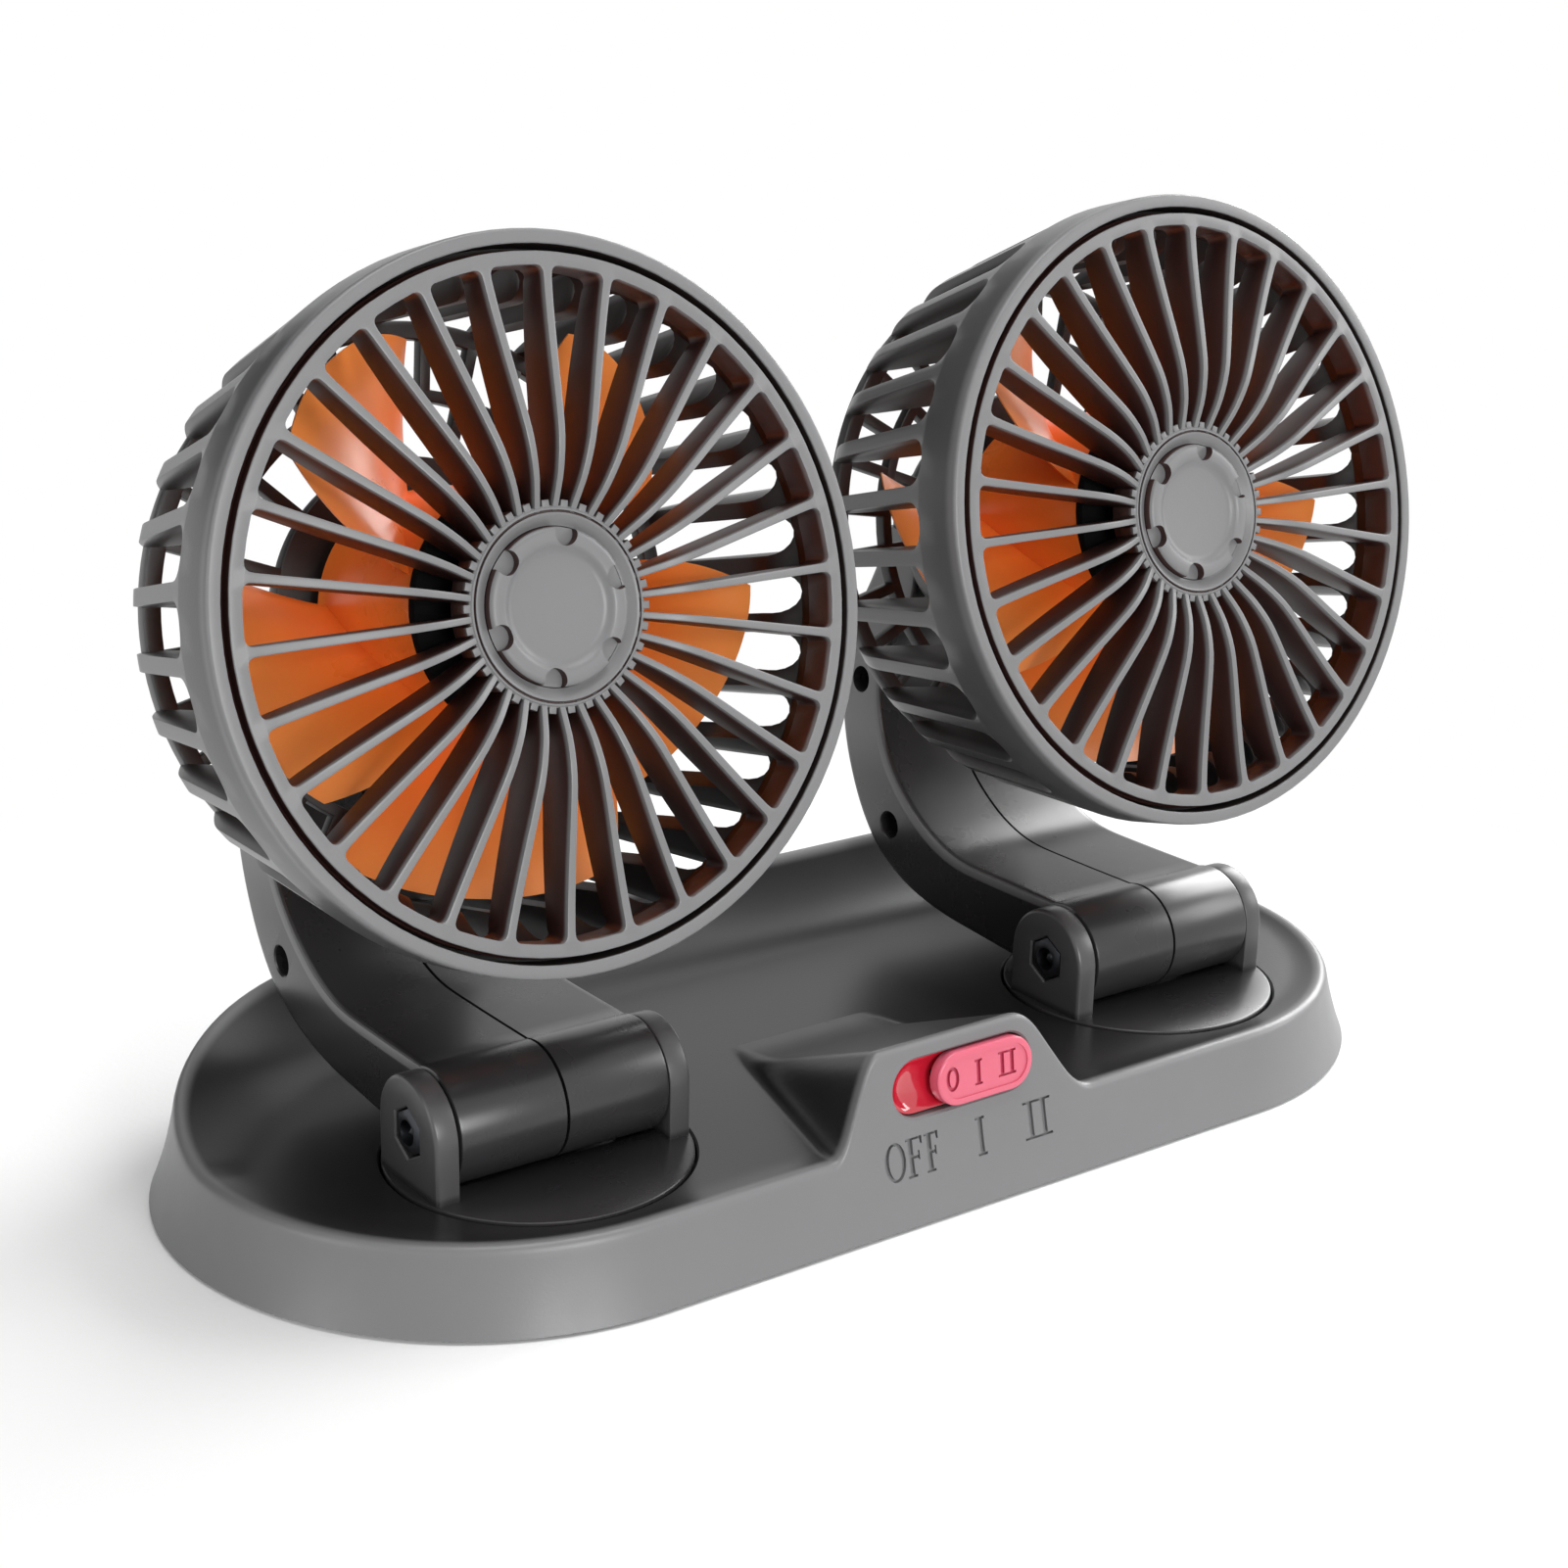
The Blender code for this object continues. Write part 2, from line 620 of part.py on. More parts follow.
def base_ring(samples, level, depth):
    """One ring of the base's skin, level 0 to 1 up the skirt and 1 to 2 inwards."""
    ring = []
    for middle_x, along, across in samples:
        rim_radius, rim_height = rim_of(middle_x, across)
        if level <= 1.0:
            height = SKIRT_FOOT + (rim_height - depth - SKIRT_FOOT) * level
            radius = skirt_radius(height) - depth
        else:
            outer = skirt_radius(rim_height - depth) - depth
            radius = outer + (DECK_INNER_RADIUS - outer) * (level - 1.0)
            height = top_height(
                middle_x + radius * along, radius * across, rim_radius - radius) - depth
        ring.append((middle_x + radius * along, radius * across, height))
    return ring


def base_screw_places():
    """Each base screw's label and place in plan."""
    for label, share_x, share_y in BASE_SCREW_PLACE_SHARES:
        yield label, share_x * UNIT_X, share_y * SKIRT_CORE_RADIUS


def build_base_shell():
    """The moulded shell: skirt, rising rim, dished deck and switch hump."""
    samples = outline_samples()
    outer_levels = (0.0, 0.3, 0.65, 0.94, 1.015, 1.08, 1.2, 1.38, 1.65, 2.0)
    inner_levels = (0.0, 0.5, 1.0, 1.15, 1.45, 2.0)

    def build(shape):
        rings = []
        for depth, levels in ((0.0, outer_levels), (BASE_WALL, inner_levels)):
            skin = []
            for level in levels:
                points = base_ring(samples, level, depth)
                skin.append([shape.verts.new(point) for point in points])
            rings.append(skin)
        for skin in rings:
            for lower, upper in zip(skin, skin[1:]):
                for index in range(len(samples)):
                    after = (index + 1) % len(samples)
                    shape.faces.new((lower[index], lower[after], upper[after], upper[index]))
            shape.faces.new(skin[-1])
        outside, inside = rings[0][0], rings[1][0]
        for index in range(len(samples)):
            after = (index + 1) % len(samples)
            shape.faces.new((inside[index], inside[after], outside[after], outside[index]))

    shell = tool_object("shell", mesh_from(build))
    seats = []
    holes = []
    for side in (-1, 1):
        middle = Vector((side * UNIT_X, SWIVEL_Y, 0.0))
        top = middle + Vector((0.0, 0.0, DECK_HEIGHT - BASE_WALL / 2))
        floor = middle + Vector((0.0, 0.0, RECESS_FLOOR_TOP))
        under = floor - Vector((0.0, 0.0, RECESS_FLOOR_THICK))
        above = middle + Vector((0.0, 0.0, HUMP_TOP))
        seats.append(rod(DISC_RADIUS + GAP + RECESS_WALL, under, top, DISC_STEPS))
        holes.append(rod(DISC_RADIUS + GAP, floor, above, DISC_STEPS))
        holes.append(rod(PIVOT_RADIUS + GAP, middle, above, 14))
    screw_holes = []
    for _, x, y in base_screw_places():
        low = COVER_TOP + GAP
        high = DECK_HEIGHT - BASE_WALL / 2
        seats.append(rod(BOSS_RADIUS, (x, y, low), (x, y, high), 10))
        screw_holes.append(rod(SCREW_HOLE_RADIUS, (x, y, 0.0), (x, y, high - BOSS_ROOF), 8))
    shell = join(shell, *seats)
    shell = cut(shell, *holes, *screw_holes)
    slot = plate(
        stadium(SLOT_HALF_LENGTH - SLOT_HALF_HEIGHT, SLOT_HALF_HEIGHT, 6),
        -2 * BASE_WALL, SLOT_CUT_DEPTH, slot_frame())
    inlet = rod(
        INLET_RADIUS + GAP, (0.0, 0.0, INLET_HEIGHT),
        (0.0, skirt_radius(0.0) + OVERRUN, INLET_HEIGHT), 16)
    return finished(cut(shell, slot, inlet))


def slot_frame():
    """The switch's frame: X along the slot, Y up the front face, Z straight out of it."""
    upright = math.pi / 2 - skirt_lean(SLOT_MIDDLE_HEIGHT)
    place = Vector((HUMP_MIDDLE_X, -skirt_radius(SLOT_MIDDLE_HEIGHT), SLOT_MIDDLE_HEIGHT))
    return Matrix.Translation(place) @ Matrix.Rotation(upright, 4, "X")


def build_base_cover():
    """The flat bottom cover, just inside the shell's wall, with sunk screw holes."""
    radius = skirt_radius(COVER_TOP) - BASE_WALL - COVER_CLEARANCE
    cover = plate(
        stadium(BASE_HALF_STRAIGHT, radius, END_STEPS), COVER_BOTTOM, COVER_TOP)
    holes = []
    for _, x, y in base_screw_places():
        head_seat = COVER_BOTTOM + SCREW_HEAD_THICK
        holes.append(rod(SCREW_HEAD_HOLE_RADIUS, (x, y, 0.0), (x, y, head_seat), 8))
        holes.append(rod(SCREW_HOLE_RADIUS, (x, y, 0.0), (x, y, DECK_HEIGHT), 8))
    return finished(cut(cover, *holes))


def build_screw(head_radius, head_thick, shank_radius, length, place=None, steps=SCREW_STEPS):
    """A screw with the top of its head at zero and its shank downwards."""
    profile = [
        (0.0, 0.0), (head_radius, 0.0), (head_radius, -head_thick),
        (shank_radius, -head_thick), (shank_radius, -length), (0.0, -length)]
    return finished(turned(profile, steps, place=place))


def build_grommet():
    """The cable inlet's bush: a short tube with a flange on each side of the wall."""
    wall_middle = skirt_radius(INLET_HEIGHT) - BASE_WALL / 2
    hold = BASE_WALL / 2 + 2 * GAP
    reach = hold + INLET_FLANGE_THICK
    flange = INLET_RADIUS + INLET_FLANGE
    profile = [
        (INLET_BORE, reach), (flange, reach), (flange, hold),
        (INLET_RADIUS, hold), (INLET_RADIUS, -hold), (flange, -hold), (flange, -reach),
        (INLET_BORE, -reach)]
    upright = math.pi / 2 - skirt_lean(INLET_HEIGHT)
    place = Matrix.Translation((0.0, wall_middle, INLET_HEIGHT))
    place = place @ Matrix.Rotation(-upright, 4, "X")
    return finished(turned(profile, 12, closed=True, place=place))


def build_bezel():
    """The red insert behind the slot, with a narrow slot for the slider's stem."""
    body = plate(
        stadium(SLOT_HALF_LENGTH - SLOT_HALF_HEIGHT, SLOT_HALF_HEIGHT - GAP, 6),
        -BASE_WALL - GAP - BEZEL_THICK / 2, -BEZEL_SINK)
    reach = SLOT_HALF_LENGTH + BEZEL_LIP
    flange = box(
        (-reach, -SLOT_HALF_HEIGHT - BEZEL_LIP, -BASE_WALL - GAP - BEZEL_THICK),
        (reach, 0.0, -BASE_WALL - GAP))
    stem_reach = STEM_HALF_LENGTH + SWITCH_TRAVEL / 2 + GAP
    opening = box(
        (-stem_reach, -STEM_HALF_HEIGHT - GAP, -SLOT_CUT_DEPTH),
        (stem_reach, STEM_HALF_HEIGHT + GAP, SLOT_CUT_DEPTH))
    return finished(cut(join(body, flange), opening))


def build_slider():
    """The thumb piece and its stem; its origin is the middle of its travel."""
    rest = SWITCH_TRAVEL / 2
    half_length = SLOT_HALF_LENGTH - GAP - SWITCH_TRAVEL / 2
    thumb_radius = SLOT_HALF_HEIGHT - GAP
    shift = Matrix.Translation((rest, 0.0, 0.0))
    thumb = plate(
        stadium(half_length - thumb_radius, thumb_radius, 6),
        -BEZEL_SINK + GAP, THUMB_PROUD, shift)
    stem_end = -BASE_WALL - GAP - BEZEL_THICK - STEM_REACH
    stem = box(
        (rest - STEM_HALF_LENGTH, -STEM_HALF_HEIGHT, stem_end),
        (rest + STEM_HALF_LENGTH, STEM_HALF_HEIGHT, THUMB_PROUD / 2))
    return finished(join(thumb, stem))


def build_switch_body():
    """The switch's casing, with the groove in which the stem slides."""
    front = -BASE_WALL - 2 * GAP - BEZEL_THICK
    back = front - SWITCH_BODY_DEPTH
    body = box(
        (-SWITCH_BODY_HALF_LENGTH, -SWITCH_BODY_HALF_HEIGHT, back),
        (SWITCH_BODY_HALF_LENGTH, SWITCH_BODY_HALF_HEIGHT, front))
    reach = STEM_HALF_LENGTH + SWITCH_TRAVEL / 2 + GAP
    groove = box(
        (-reach, -STEM_HALF_HEIGHT - GAP, back + SWITCH_BODY_FLOOR),
        (reach, STEM_HALF_HEIGHT + GAP, front + OVERRUN))
    return finished(cut(body, groove))


def build_board():
    """The circuit board behind the switch, from the bottom cover up to under the roof."""
    front = -BASE_WALL - 3 * GAP - BEZEL_THICK - SWITCH_BODY_DEPTH
    back = front - BOARD_THICK
    behind = slot_frame() @ Vector((0.0, 0.0, back))
    foot = SLOT_MIDDLE_HEIGHT - COVER_TOP - BOARD_LEGROOM
    top = roof_height(behind.y) - BASE_WALL - BOARD_HEADROOM - behind.z
    return finished(box((-BOARD_HALF_LENGTH, -foot, back), (BOARD_HALF_LENGTH, top, front)))


def ear_outline():
    """An ear seen from the side, in Y and Z: upright edges under a round top."""
    low = DISC_TOP - EAR_ROOT
    points = [(HINGE_Y - EAR_HALF_DEPTH, low), (HINGE_Y + EAR_HALF_DEPTH, low)]
    for step in range(EAR_ROUND_STEPS + 1):
        angle = math.pi * step / EAR_ROUND_STEPS
        points.append((
            HINGE_Y + EAR_HALF_DEPTH * math.cos(angle),
            HINGE_Z + EAR_HALF_DEPTH * math.sin(angle)))
    return points


def side_plate(outline, low_x, high_x):
    """A plate whose outline is given in Y and Z, between two X positions."""
    turn = Matrix(((0, 0, 1, 0), (1, 0, 0, 0), (0, 1, 0, 0), (0, 0, 0, 1)))
    return plate(outline, low_x, high_x, turn)


def build_turntable():
    """The swivelling disc with its pivot below and two hinge ears above."""
    middle = Vector((0.0, SWIVEL_Y, 0.0))
    disc = rod(
        DISC_RADIUS, middle + Vector((0.0, 0.0, DISC_BOTTOM)),
        middle + Vector((0.0, 0.0, DISC_TOP)), DISC_STEPS)
    pivot = rod(
        PIVOT_RADIUS, middle + Vector((0.0, 0.0, PIVOT_BOTTOM)),
        middle + Vector((0.0, 0.0, (DISC_TOP + DISC_BOTTOM) / 2)), 14)
    trough = rod(
        TROUGH_RADIUS, (-ARM_HALF_WIDTH - GAP, HINGE_Y, HINGE_Z),
        (ARM_HALF_WIDTH + GAP, HINGE_Y, HINGE_Z), BARREL_STEPS)
    body = cut(join(disc, pivot), trough)
    inner = EAR_OUTER_X - EAR_THICK
    ears = [
        side_plate(ear_outline(), -EAR_OUTER_X, -inner),
        side_plate(ear_outline(), inner, EAR_OUTER_X)]
    body = join(body, *ears)
    far = EAR_OUTER_X + OVERRUN
    bore = rod(BOLT_RADIUS + GAP, (-far, HINGE_Y, HINGE_Z), (far, HINGE_Y, HINGE_Z), BOLT_STEPS)
    pocket = rod(
        NUT_RADIUS + NUT_CLEARANCE, (-far, HINGE_Y, HINGE_Z),
        (-EAR_OUTER_X + POCKET_DEPTH, HINGE_Y, HINGE_Z), 6)
    sink = rod(
        BOLT_HEAD_RADIUS + GAP,
        (EAR_OUTER_X - BOLT_SINK - BOLT_HEAD_THICK - GAP, HINGE_Y, HINGE_Z),
        (far, HINGE_Y, HINGE_Z), BOLT_STEPS)
    pilot = rod(
        SCREW_HOLE_RADIUS, middle, middle + Vector((0.0, 0.0, PIVOT_BOTTOM + PIVOT_PILOT)), 12)
    return finished(cut(body, bore, pocket, sink, pilot))


def build_retainer():
    """The washer that keeps the turntable's pivot in the base."""
    top = RETAINER_BOTTOM + RETAINER_THICK
    profile = [
        (SCREW_HOLE_RADIUS, top), (RETAINER_RADIUS, top),
        (RETAINER_RADIUS, RETAINER_BOTTOM), (SCREW_HOLE_RADIUS, RETAINER_BOTTOM)]
    place = Matrix.Translation((0.0, SWIVEL_Y, 0.0))
    return finished(turned(profile, 12, closed=True, place=place))


def build_swivel_screw():
    """The screw up into the pivot, head downwards."""
    place = Matrix.Translation((0.0, SWIVEL_Y, SWIVEL_SCREW_FACE))
    place = place @ Matrix.Rotation(math.pi, 4, "X")
    return build_screw(
        SCREW_HEAD_RADIUS, SCREW_HEAD_THICK, SCREW_SHANK_RADIUS, SWIVEL_SCREW_LENGTH, place)


def build_hinge_bolt():
    """The bolt along the hinge's axis, its head sunk in the right ear."""
    place = Matrix.Translation((EAR_OUTER_X - BOLT_SINK, HINGE_Y, HINGE_Z))
    place = place @ Matrix.Rotation(math.pi / 2, 4, "Y")
    length = 2 * EAR_OUTER_X - BOLT_SINK - BOLT_END_SHORT
    return build_screw(
        BOLT_HEAD_RADIUS, BOLT_HEAD_THICK, BOLT_RADIUS, length, place, BOLT_STEPS)


def build_hinge_nut():
    """The six-sided nut that sits in the left ear's pocket."""
    inner = -EAR_OUTER_X + POCKET_DEPTH - GAP
    nut = rod(
        NUT_RADIUS, (inner - NUT_THICK, HINGE_Y, HINGE_Z), (inner, HINGE_Y, HINGE_Z), 6)
    hole = rod(
        BOLT_RADIUS + GAP, (-EAR_OUTER_X - OVERRUN, HINGE_Y, HINGE_Z), (0.0, HINGE_Y, HINGE_Z),
        BOLT_STEPS)
    return finished(cut(nut, hole))


def arm_place(share_y, share_z):
    """A place in the arm's middle plane, from the hinge towards the head."""
    return Vector((0.0, HINGE_Y + share_y * ARM_REACH, HINGE_Z + share_z * ARM_RISE))


def pad_place(depth_share, up_share):
    """A place in the arm's middle plane, measured from the middle of the pad's front."""
    depth = ARM_PAD_FRONT + depth_share * ARM_PAD_THICK
    return head_frame() @ Vector((0.0, up_share * ARM_PAD_RADIUS, -depth))


def arm_stations():
    """Each section's two edges and its width, from the hinge to the pad."""
    for first, second, third, fourth, width_share in ARM_STATION_SHARES:
        yield arm_place(first, second), arm_place(third, fourth), width_share
    for first, second, third, fourth, width_share in ARM_END_SHARES:
        yield pad_place(first, second), pad_place(third, fourth), width_share


def arm_section(station, side):
    """One U-shaped ring of an arm half, its open side running past the middle plane."""
    top, under, width_share = station
    thick = (under - top).length
    down = (under - top) / thick
    wide = ARM_HALF_WIDTH * width_share
    outer = [
        (-OVERRUN, 0.0), (wide - ARM_ROUND, 0.0), (wide, ARM_ROUND),
        (wide, thick - ARM_ROUND), (wide - ARM_ROUND, thick), (-OVERRUN, thick)]
    inner = [
        (-OVERRUN, thick - ARM_WALL), (wide - ARM_WALL, thick - ARM_WALL),
        (wide - ARM_WALL, ARM_WALL), (-OVERRUN, ARM_WALL)]
    points = []
    for across, depth in outer + inner:
        points.append(Vector((side * across, 0.0, 0.0)) + top + down * depth)
    return points


def head_frame():
    """The head's frame in its unit: Z out of the front, Y upwards, from the lip's middle."""
    place = Matrix.Translation((0.0, HEAD_Y, HEAD_Z))
    return place @ Matrix.Rotation(math.pi / 2 - HEAD_TILT, 4, "X")


def build_arm_half(side):
    """Half of the arm: hollow elbow, half barrel, screw pillars and half of the pad."""

    def build(shape):
        rings = []
        for station in arm_stations():
            rings.append([shape.verts.new(point) for point in arm_section(station, side)])
        count = len(rings[0])
        for before, after in zip(rings, rings[1:]):
            for index in range(count):
                following = (index + 1) % count
                shape.faces.new((before[index], before[following], after[following], after[index]))
        shape.faces.new(rings[0])
        shape.faces.new(rings[-1])

    elbow = tool_object("elbow", mesh_from(build))
    past = -side * OVERRUN
    wide = side * ARM_HALF_WIDTH
    barrel = rod(BARREL_RADIUS, (past, HINGE_Y, HINGE_Z), (wide, HINGE_Y, HINGE_Z), BARREL_STEPS)
    additions = [barrel]
    holes = [rod(
        BOLT_RADIUS + GAP, (2 * past, HINGE_Y, HINGE_Z),
        (side * EAR_OUTER_X, HINGE_Y, HINGE_Z), BOLT_STEPS)]
    for _, share_y, share_z in ARM_SCREW_PLACE_SHARES:
        _, y, z = arm_place(share_y, share_z)
        end = side * (ARM_HALF_WIDTH - PILLAR_SHORT)
        additions.append(rod(PILLAR_RADIUS, (past, y, z), (end, y, z), 8))
        if side < 0:
            holes.append(rod(SCREW_HOLE_RADIUS, (2 * past, y, z), (-ARM_HALF_WIDTH, y, z), 8))
            holes.append(rod(
                ARM_HOLE_RADIUS, (-ARM_HALF_WIDTH + ARM_SCREW_SINK, y, z),
                (-ARM_HALF_WIDTH - OVERRUN, y, z), 12))
        else:
            reach = ARM_SCREW_LENGTH - ARM_HALF_WIDTH + ARM_SCREW_SINK + SCREW_TIP_ROOM
            holes.append(rod(SCREW_HOLE_RADIUS, (2 * past, y, z), (reach, y, z), 8))
    frame = head_frame()
    additions.append(rod(
        ARM_PAD_RADIUS, frame @ Vector((0.0, 0.0, -ARM_PAD_BACK)),
        frame @ Vector((0.0, 0.0, -ARM_PAD_FRONT)), 20))
    seam = side * SEAM_HALF_GAP
    far = HEAD_Z + ARM_PAD_BACK
    other_side = box(
        (min(seam, -side * far), -far, -far), (max(seam, -side * far), far, 2 * far))
    x = side * HEAD_SCREW_X
    seat = -ARM_PAD_BACK + HEAD_SCREW_SINK
    holes.append(rod(
        SCREW_HOLE_RADIUS, frame @ Vector((x, 0.0, -ARM_PAD_BACK)),
        frame @ Vector((x, 0.0, 0.0)), 8))
    holes.append(rod(
        ARM_HOLE_RADIUS + GAP, frame @ Vector((x, 0.0, -ARM_PAD_BACK - HEAD_SCREW_ACCESS)),
        frame @ Vector((x, 0.0, seat)), 10))
    return finished(cut(join(elbow, *additions), *holes, other_side))


def build_arm_screw(place_share):
    """A screw across the arm, sunk in the deep hole of the left half."""
    _, share_y, share_z = place_share
    start = -ARM_HALF_WIDTH + ARM_SCREW_SINK - GAP - SCREW_HEAD_THICK
    middle = arm_place(share_y, share_z)
    place = Matrix.Translation((start, middle.y, middle.z))
    place = place @ Matrix.Rotation(-math.pi / 2, 4, "Y")
    return build_screw(
        SCREW_HEAD_RADIUS, SCREW_HEAD_THICK, SCREW_SHANK_RADIUS, ARM_SCREW_LENGTH, place)


def build_head_screw(side):
    """A screw from the arm's pad forwards into a boss on the housing."""
    start = -ARM_PAD_BACK + HEAD_SCREW_SINK - GAP - SCREW_HEAD_THICK
    place = Matrix.Translation((side * HEAD_SCREW_X, 0.0, start))
    place = place @ Matrix.Rotation(math.pi, 4, "X")
    return build_screw(
        SCREW_HEAD_RADIUS, SCREW_HEAD_THICK, SCREW_SHANK_RADIUS, HEAD_SCREW_LENGTH, place)


def side_slot_cutter(angle):
    """One slot between two fins: rounded in front and open at the rear."""
    half = SLOT_WIDTH / 2
    outline = [(-half, -REAR_WALL_BACK - OVERRUN), (half, -REAR_WALL_BACK - OVERRUN)]
    for step in range(4):
        bend = math.pi * step / 3
        outline.append((half * math.cos(bend), -BAND_DEPTH - half + half * math.sin(bend)))
    turn = Matrix(((0, 0, 1, 0), (1, 0, 0, 0), (0, 1, 0, 0), (0, 0, 0, 1)))
    return plate(
        outline, HOOP_OUTER, HEAD_RADIUS + OVERRUN, Matrix.Rotation(angle, 4, "Z") @ turn)


def rear_window_cutter(angle, count, inner, outer):
    """One window between two of the rear grille's spokes, in a ring of count windows."""
    half_pitch = math.pi / count
    low = inner * math.tan(half_pitch) - SPOKE_WIDTH_REAR / 2
    high = outer * math.tan(half_pitch) - SPOKE_WIDTH_REAR / 2
    outline = [(inner, -low), (outer, -high), (outer, high), (inner, low)]
    return plate(
        outline, -REAR_WALL_BACK - OVERRUN, -REAR_WALL_FRONT + OVERRUN,
        Matrix.Rotation(angle, 4, "Z"))


def build_housing():
    """The drum: front band, side fins, rear hoop, rear grille and two screw bosses."""
    profile = [
        (LIP_INNER, 0.0),
        (HEAD_RADIUS - HEAD_CHAMFER, 0.0),
        (HEAD_RADIUS, -HEAD_CHAMFER),
        (HEAD_RADIUS, -BAND_DEPTH),
        (REAR_RADIUS, -REAR_WALL_BACK + REAR_ROUND),
        (HOOP_OUTER, -REAR_WALL_BACK),
        (MOTOR_NUB_RADIUS + GAP, -REAR_WALL_BACK),
        (MOTOR_NUB_RADIUS + GAP, -REAR_WALL_FRONT),
        (HOOP_OUTER + HOOP_DRAFT, -REAR_WALL_FRONT),
        (LEDGE_INNER, -LIP_DEPTH - LEDGE_THICK),
        (LEDGE_INNER, -LIP_DEPTH),
        (LIP_INNER, -LIP_DEPTH),
    ]
    pitch = 2 * math.pi / FIN_COUNT
    turn = Matrix.Rotation(FIN_PHASE + pitch / 2, 4, "Z")
    drum = turned(profile, HEAD_STEPS, closed=True, place=turn)
    slots = []
    for index in range(FIN_COUNT):
        slots.append(side_slot_cutter(FIN_PHASE + (index + 0.5) * pitch))
    window_rings = (
        (INNER_WINDOWS, WINDOW_INNER, WINDOW_DIVIDER - WINDOW_DIVIDER_HALF),
        (OUTER_WINDOWS, WINDOW_DIVIDER + WINDOW_DIVIDER_HALF, WINDOW_OUTER),
    )
    for count, inner, outer in window_rings:
        for index in range(count):
            angle = FIN_PHASE + (index + 0.5) * 2 * math.pi / count
            slots.append(rear_window_cutter(angle, count, inner, outer))
    drum = cut(drum, bundle(slots))
    bosses = []
    pilots = []
    for side in (-1, 1):
        x = side * HEAD_SCREW_X
        wall_middle = -(REAR_WALL_FRONT + REAR_WALL_BACK) / 2
        bosses.append(rod(
            HEAD_BOSS_RADIUS, (x, 0.0, -HEAD_BOSS_BACK), (x, 0.0, wall_middle), 12))
        pilots.append(rod(
            SCREW_HOLE_RADIUS, (x, 0.0, -HEAD_BOSS_BACK - OVERRUN), (x, 0.0, wall_middle), 10))
    return finished(cut(join(drum, *bosses), *pilots))


def spoke(angle):
    """One grille spoke: a thin blade whose front edge bows forwards."""
    root = GRILLE_HUB_RADIUS - SPOKE_ROOT
    tip = GRILLE_INNER + SPOKE_TIP

    def build(shape):
        rings = []
        for along, front, back, width in GRILLE_STATION_SHARES:
            radius = root + (tip - root) * along
            ring = []
            for across, height in ((-1, front), (1, front), (1, -back), (-1, -back)):
                ring.append(shape.verts.new((
                    radius, across * width * GRILLE_DEPTH / 2, height * GRILLE_DEPTH)))
            rings.append(ring)
        for before, after in zip(rings, rings[1:]):
            for index in range(4):
                following = (index + 1) % 4
                shape.faces.new((before[index], before[following], after[following], after[index]))
        shape.faces.new(rings[0])
        shape.faces.new(rings[-1])

    return tool_object("spoke", mesh_from(build), Matrix.Rotation(angle, 4, "Z"))


def build_grille():
    """The front grille: rim, thirty spokes and the hub ring with its recess."""
    rim = turned([
        (GRILLE_INNER, 0.0),
        (GRILLE_OUTER, 0.0),
        (GRILLE_OUTER, -GRILLE_DEPTH),
        (GRILLE_INNER, -GRILLE_DEPTH),
    ], GRILLE_SPOKES, closed=True, place=Matrix.Rotation(math.pi / GRILLE_SPOKES, 4, "Z"))
    hub = turned([
        (0.0, -CAP_SINK - GAP),
        (CAP_RADIUS + GAP, -CAP_SINK - GAP),
        (CAP_RADIUS + GAP, 0.0),
        (GRILLE_HUB_RADIUS, 0.0),
        (GRILLE_HUB_RADIUS, -GRILLE_HUB_DEPTH),
        (0.0, -GRILLE_HUB_DEPTH),
    ], GRILLE_SPOKES, place=Matrix.Rotation(math.pi / GRILLE_SPOKES, 4, "Z"))
    turns = [2 * math.pi * index / GRILLE_SPOKES for index in range(GRILLE_SPOKES)]
    spokes = bundle([spoke(turn) for turn in turns])
    return finished(join(spokes, rim, hub))


def build_hub_cap():
    """The round cap in the grille's hub, with six notches in its edge."""
    cap = rod(CAP_RADIUS, (0.0, 0.0, -CAP_SINK), (0.0, 0.0, CAP_PROUD), 24)
    notches = []
    for index in range(CAP_NOTCHES):
        angle = 2 * math.pi * (index + 0.5) / CAP_NOTCHES
        place = Vector((math.cos(angle), math.sin(angle), 0.0)) * CAP_RADIUS
        notches.append(rod(
            CAP_NOTCH_RADIUS, place - Vector((0.0, 0.0, CAP_NOTCH_FLOOR)),
            place + Vector((0.0, 0.0, OVERRUN)), 6))
    return finished(cut(cap, *notches))


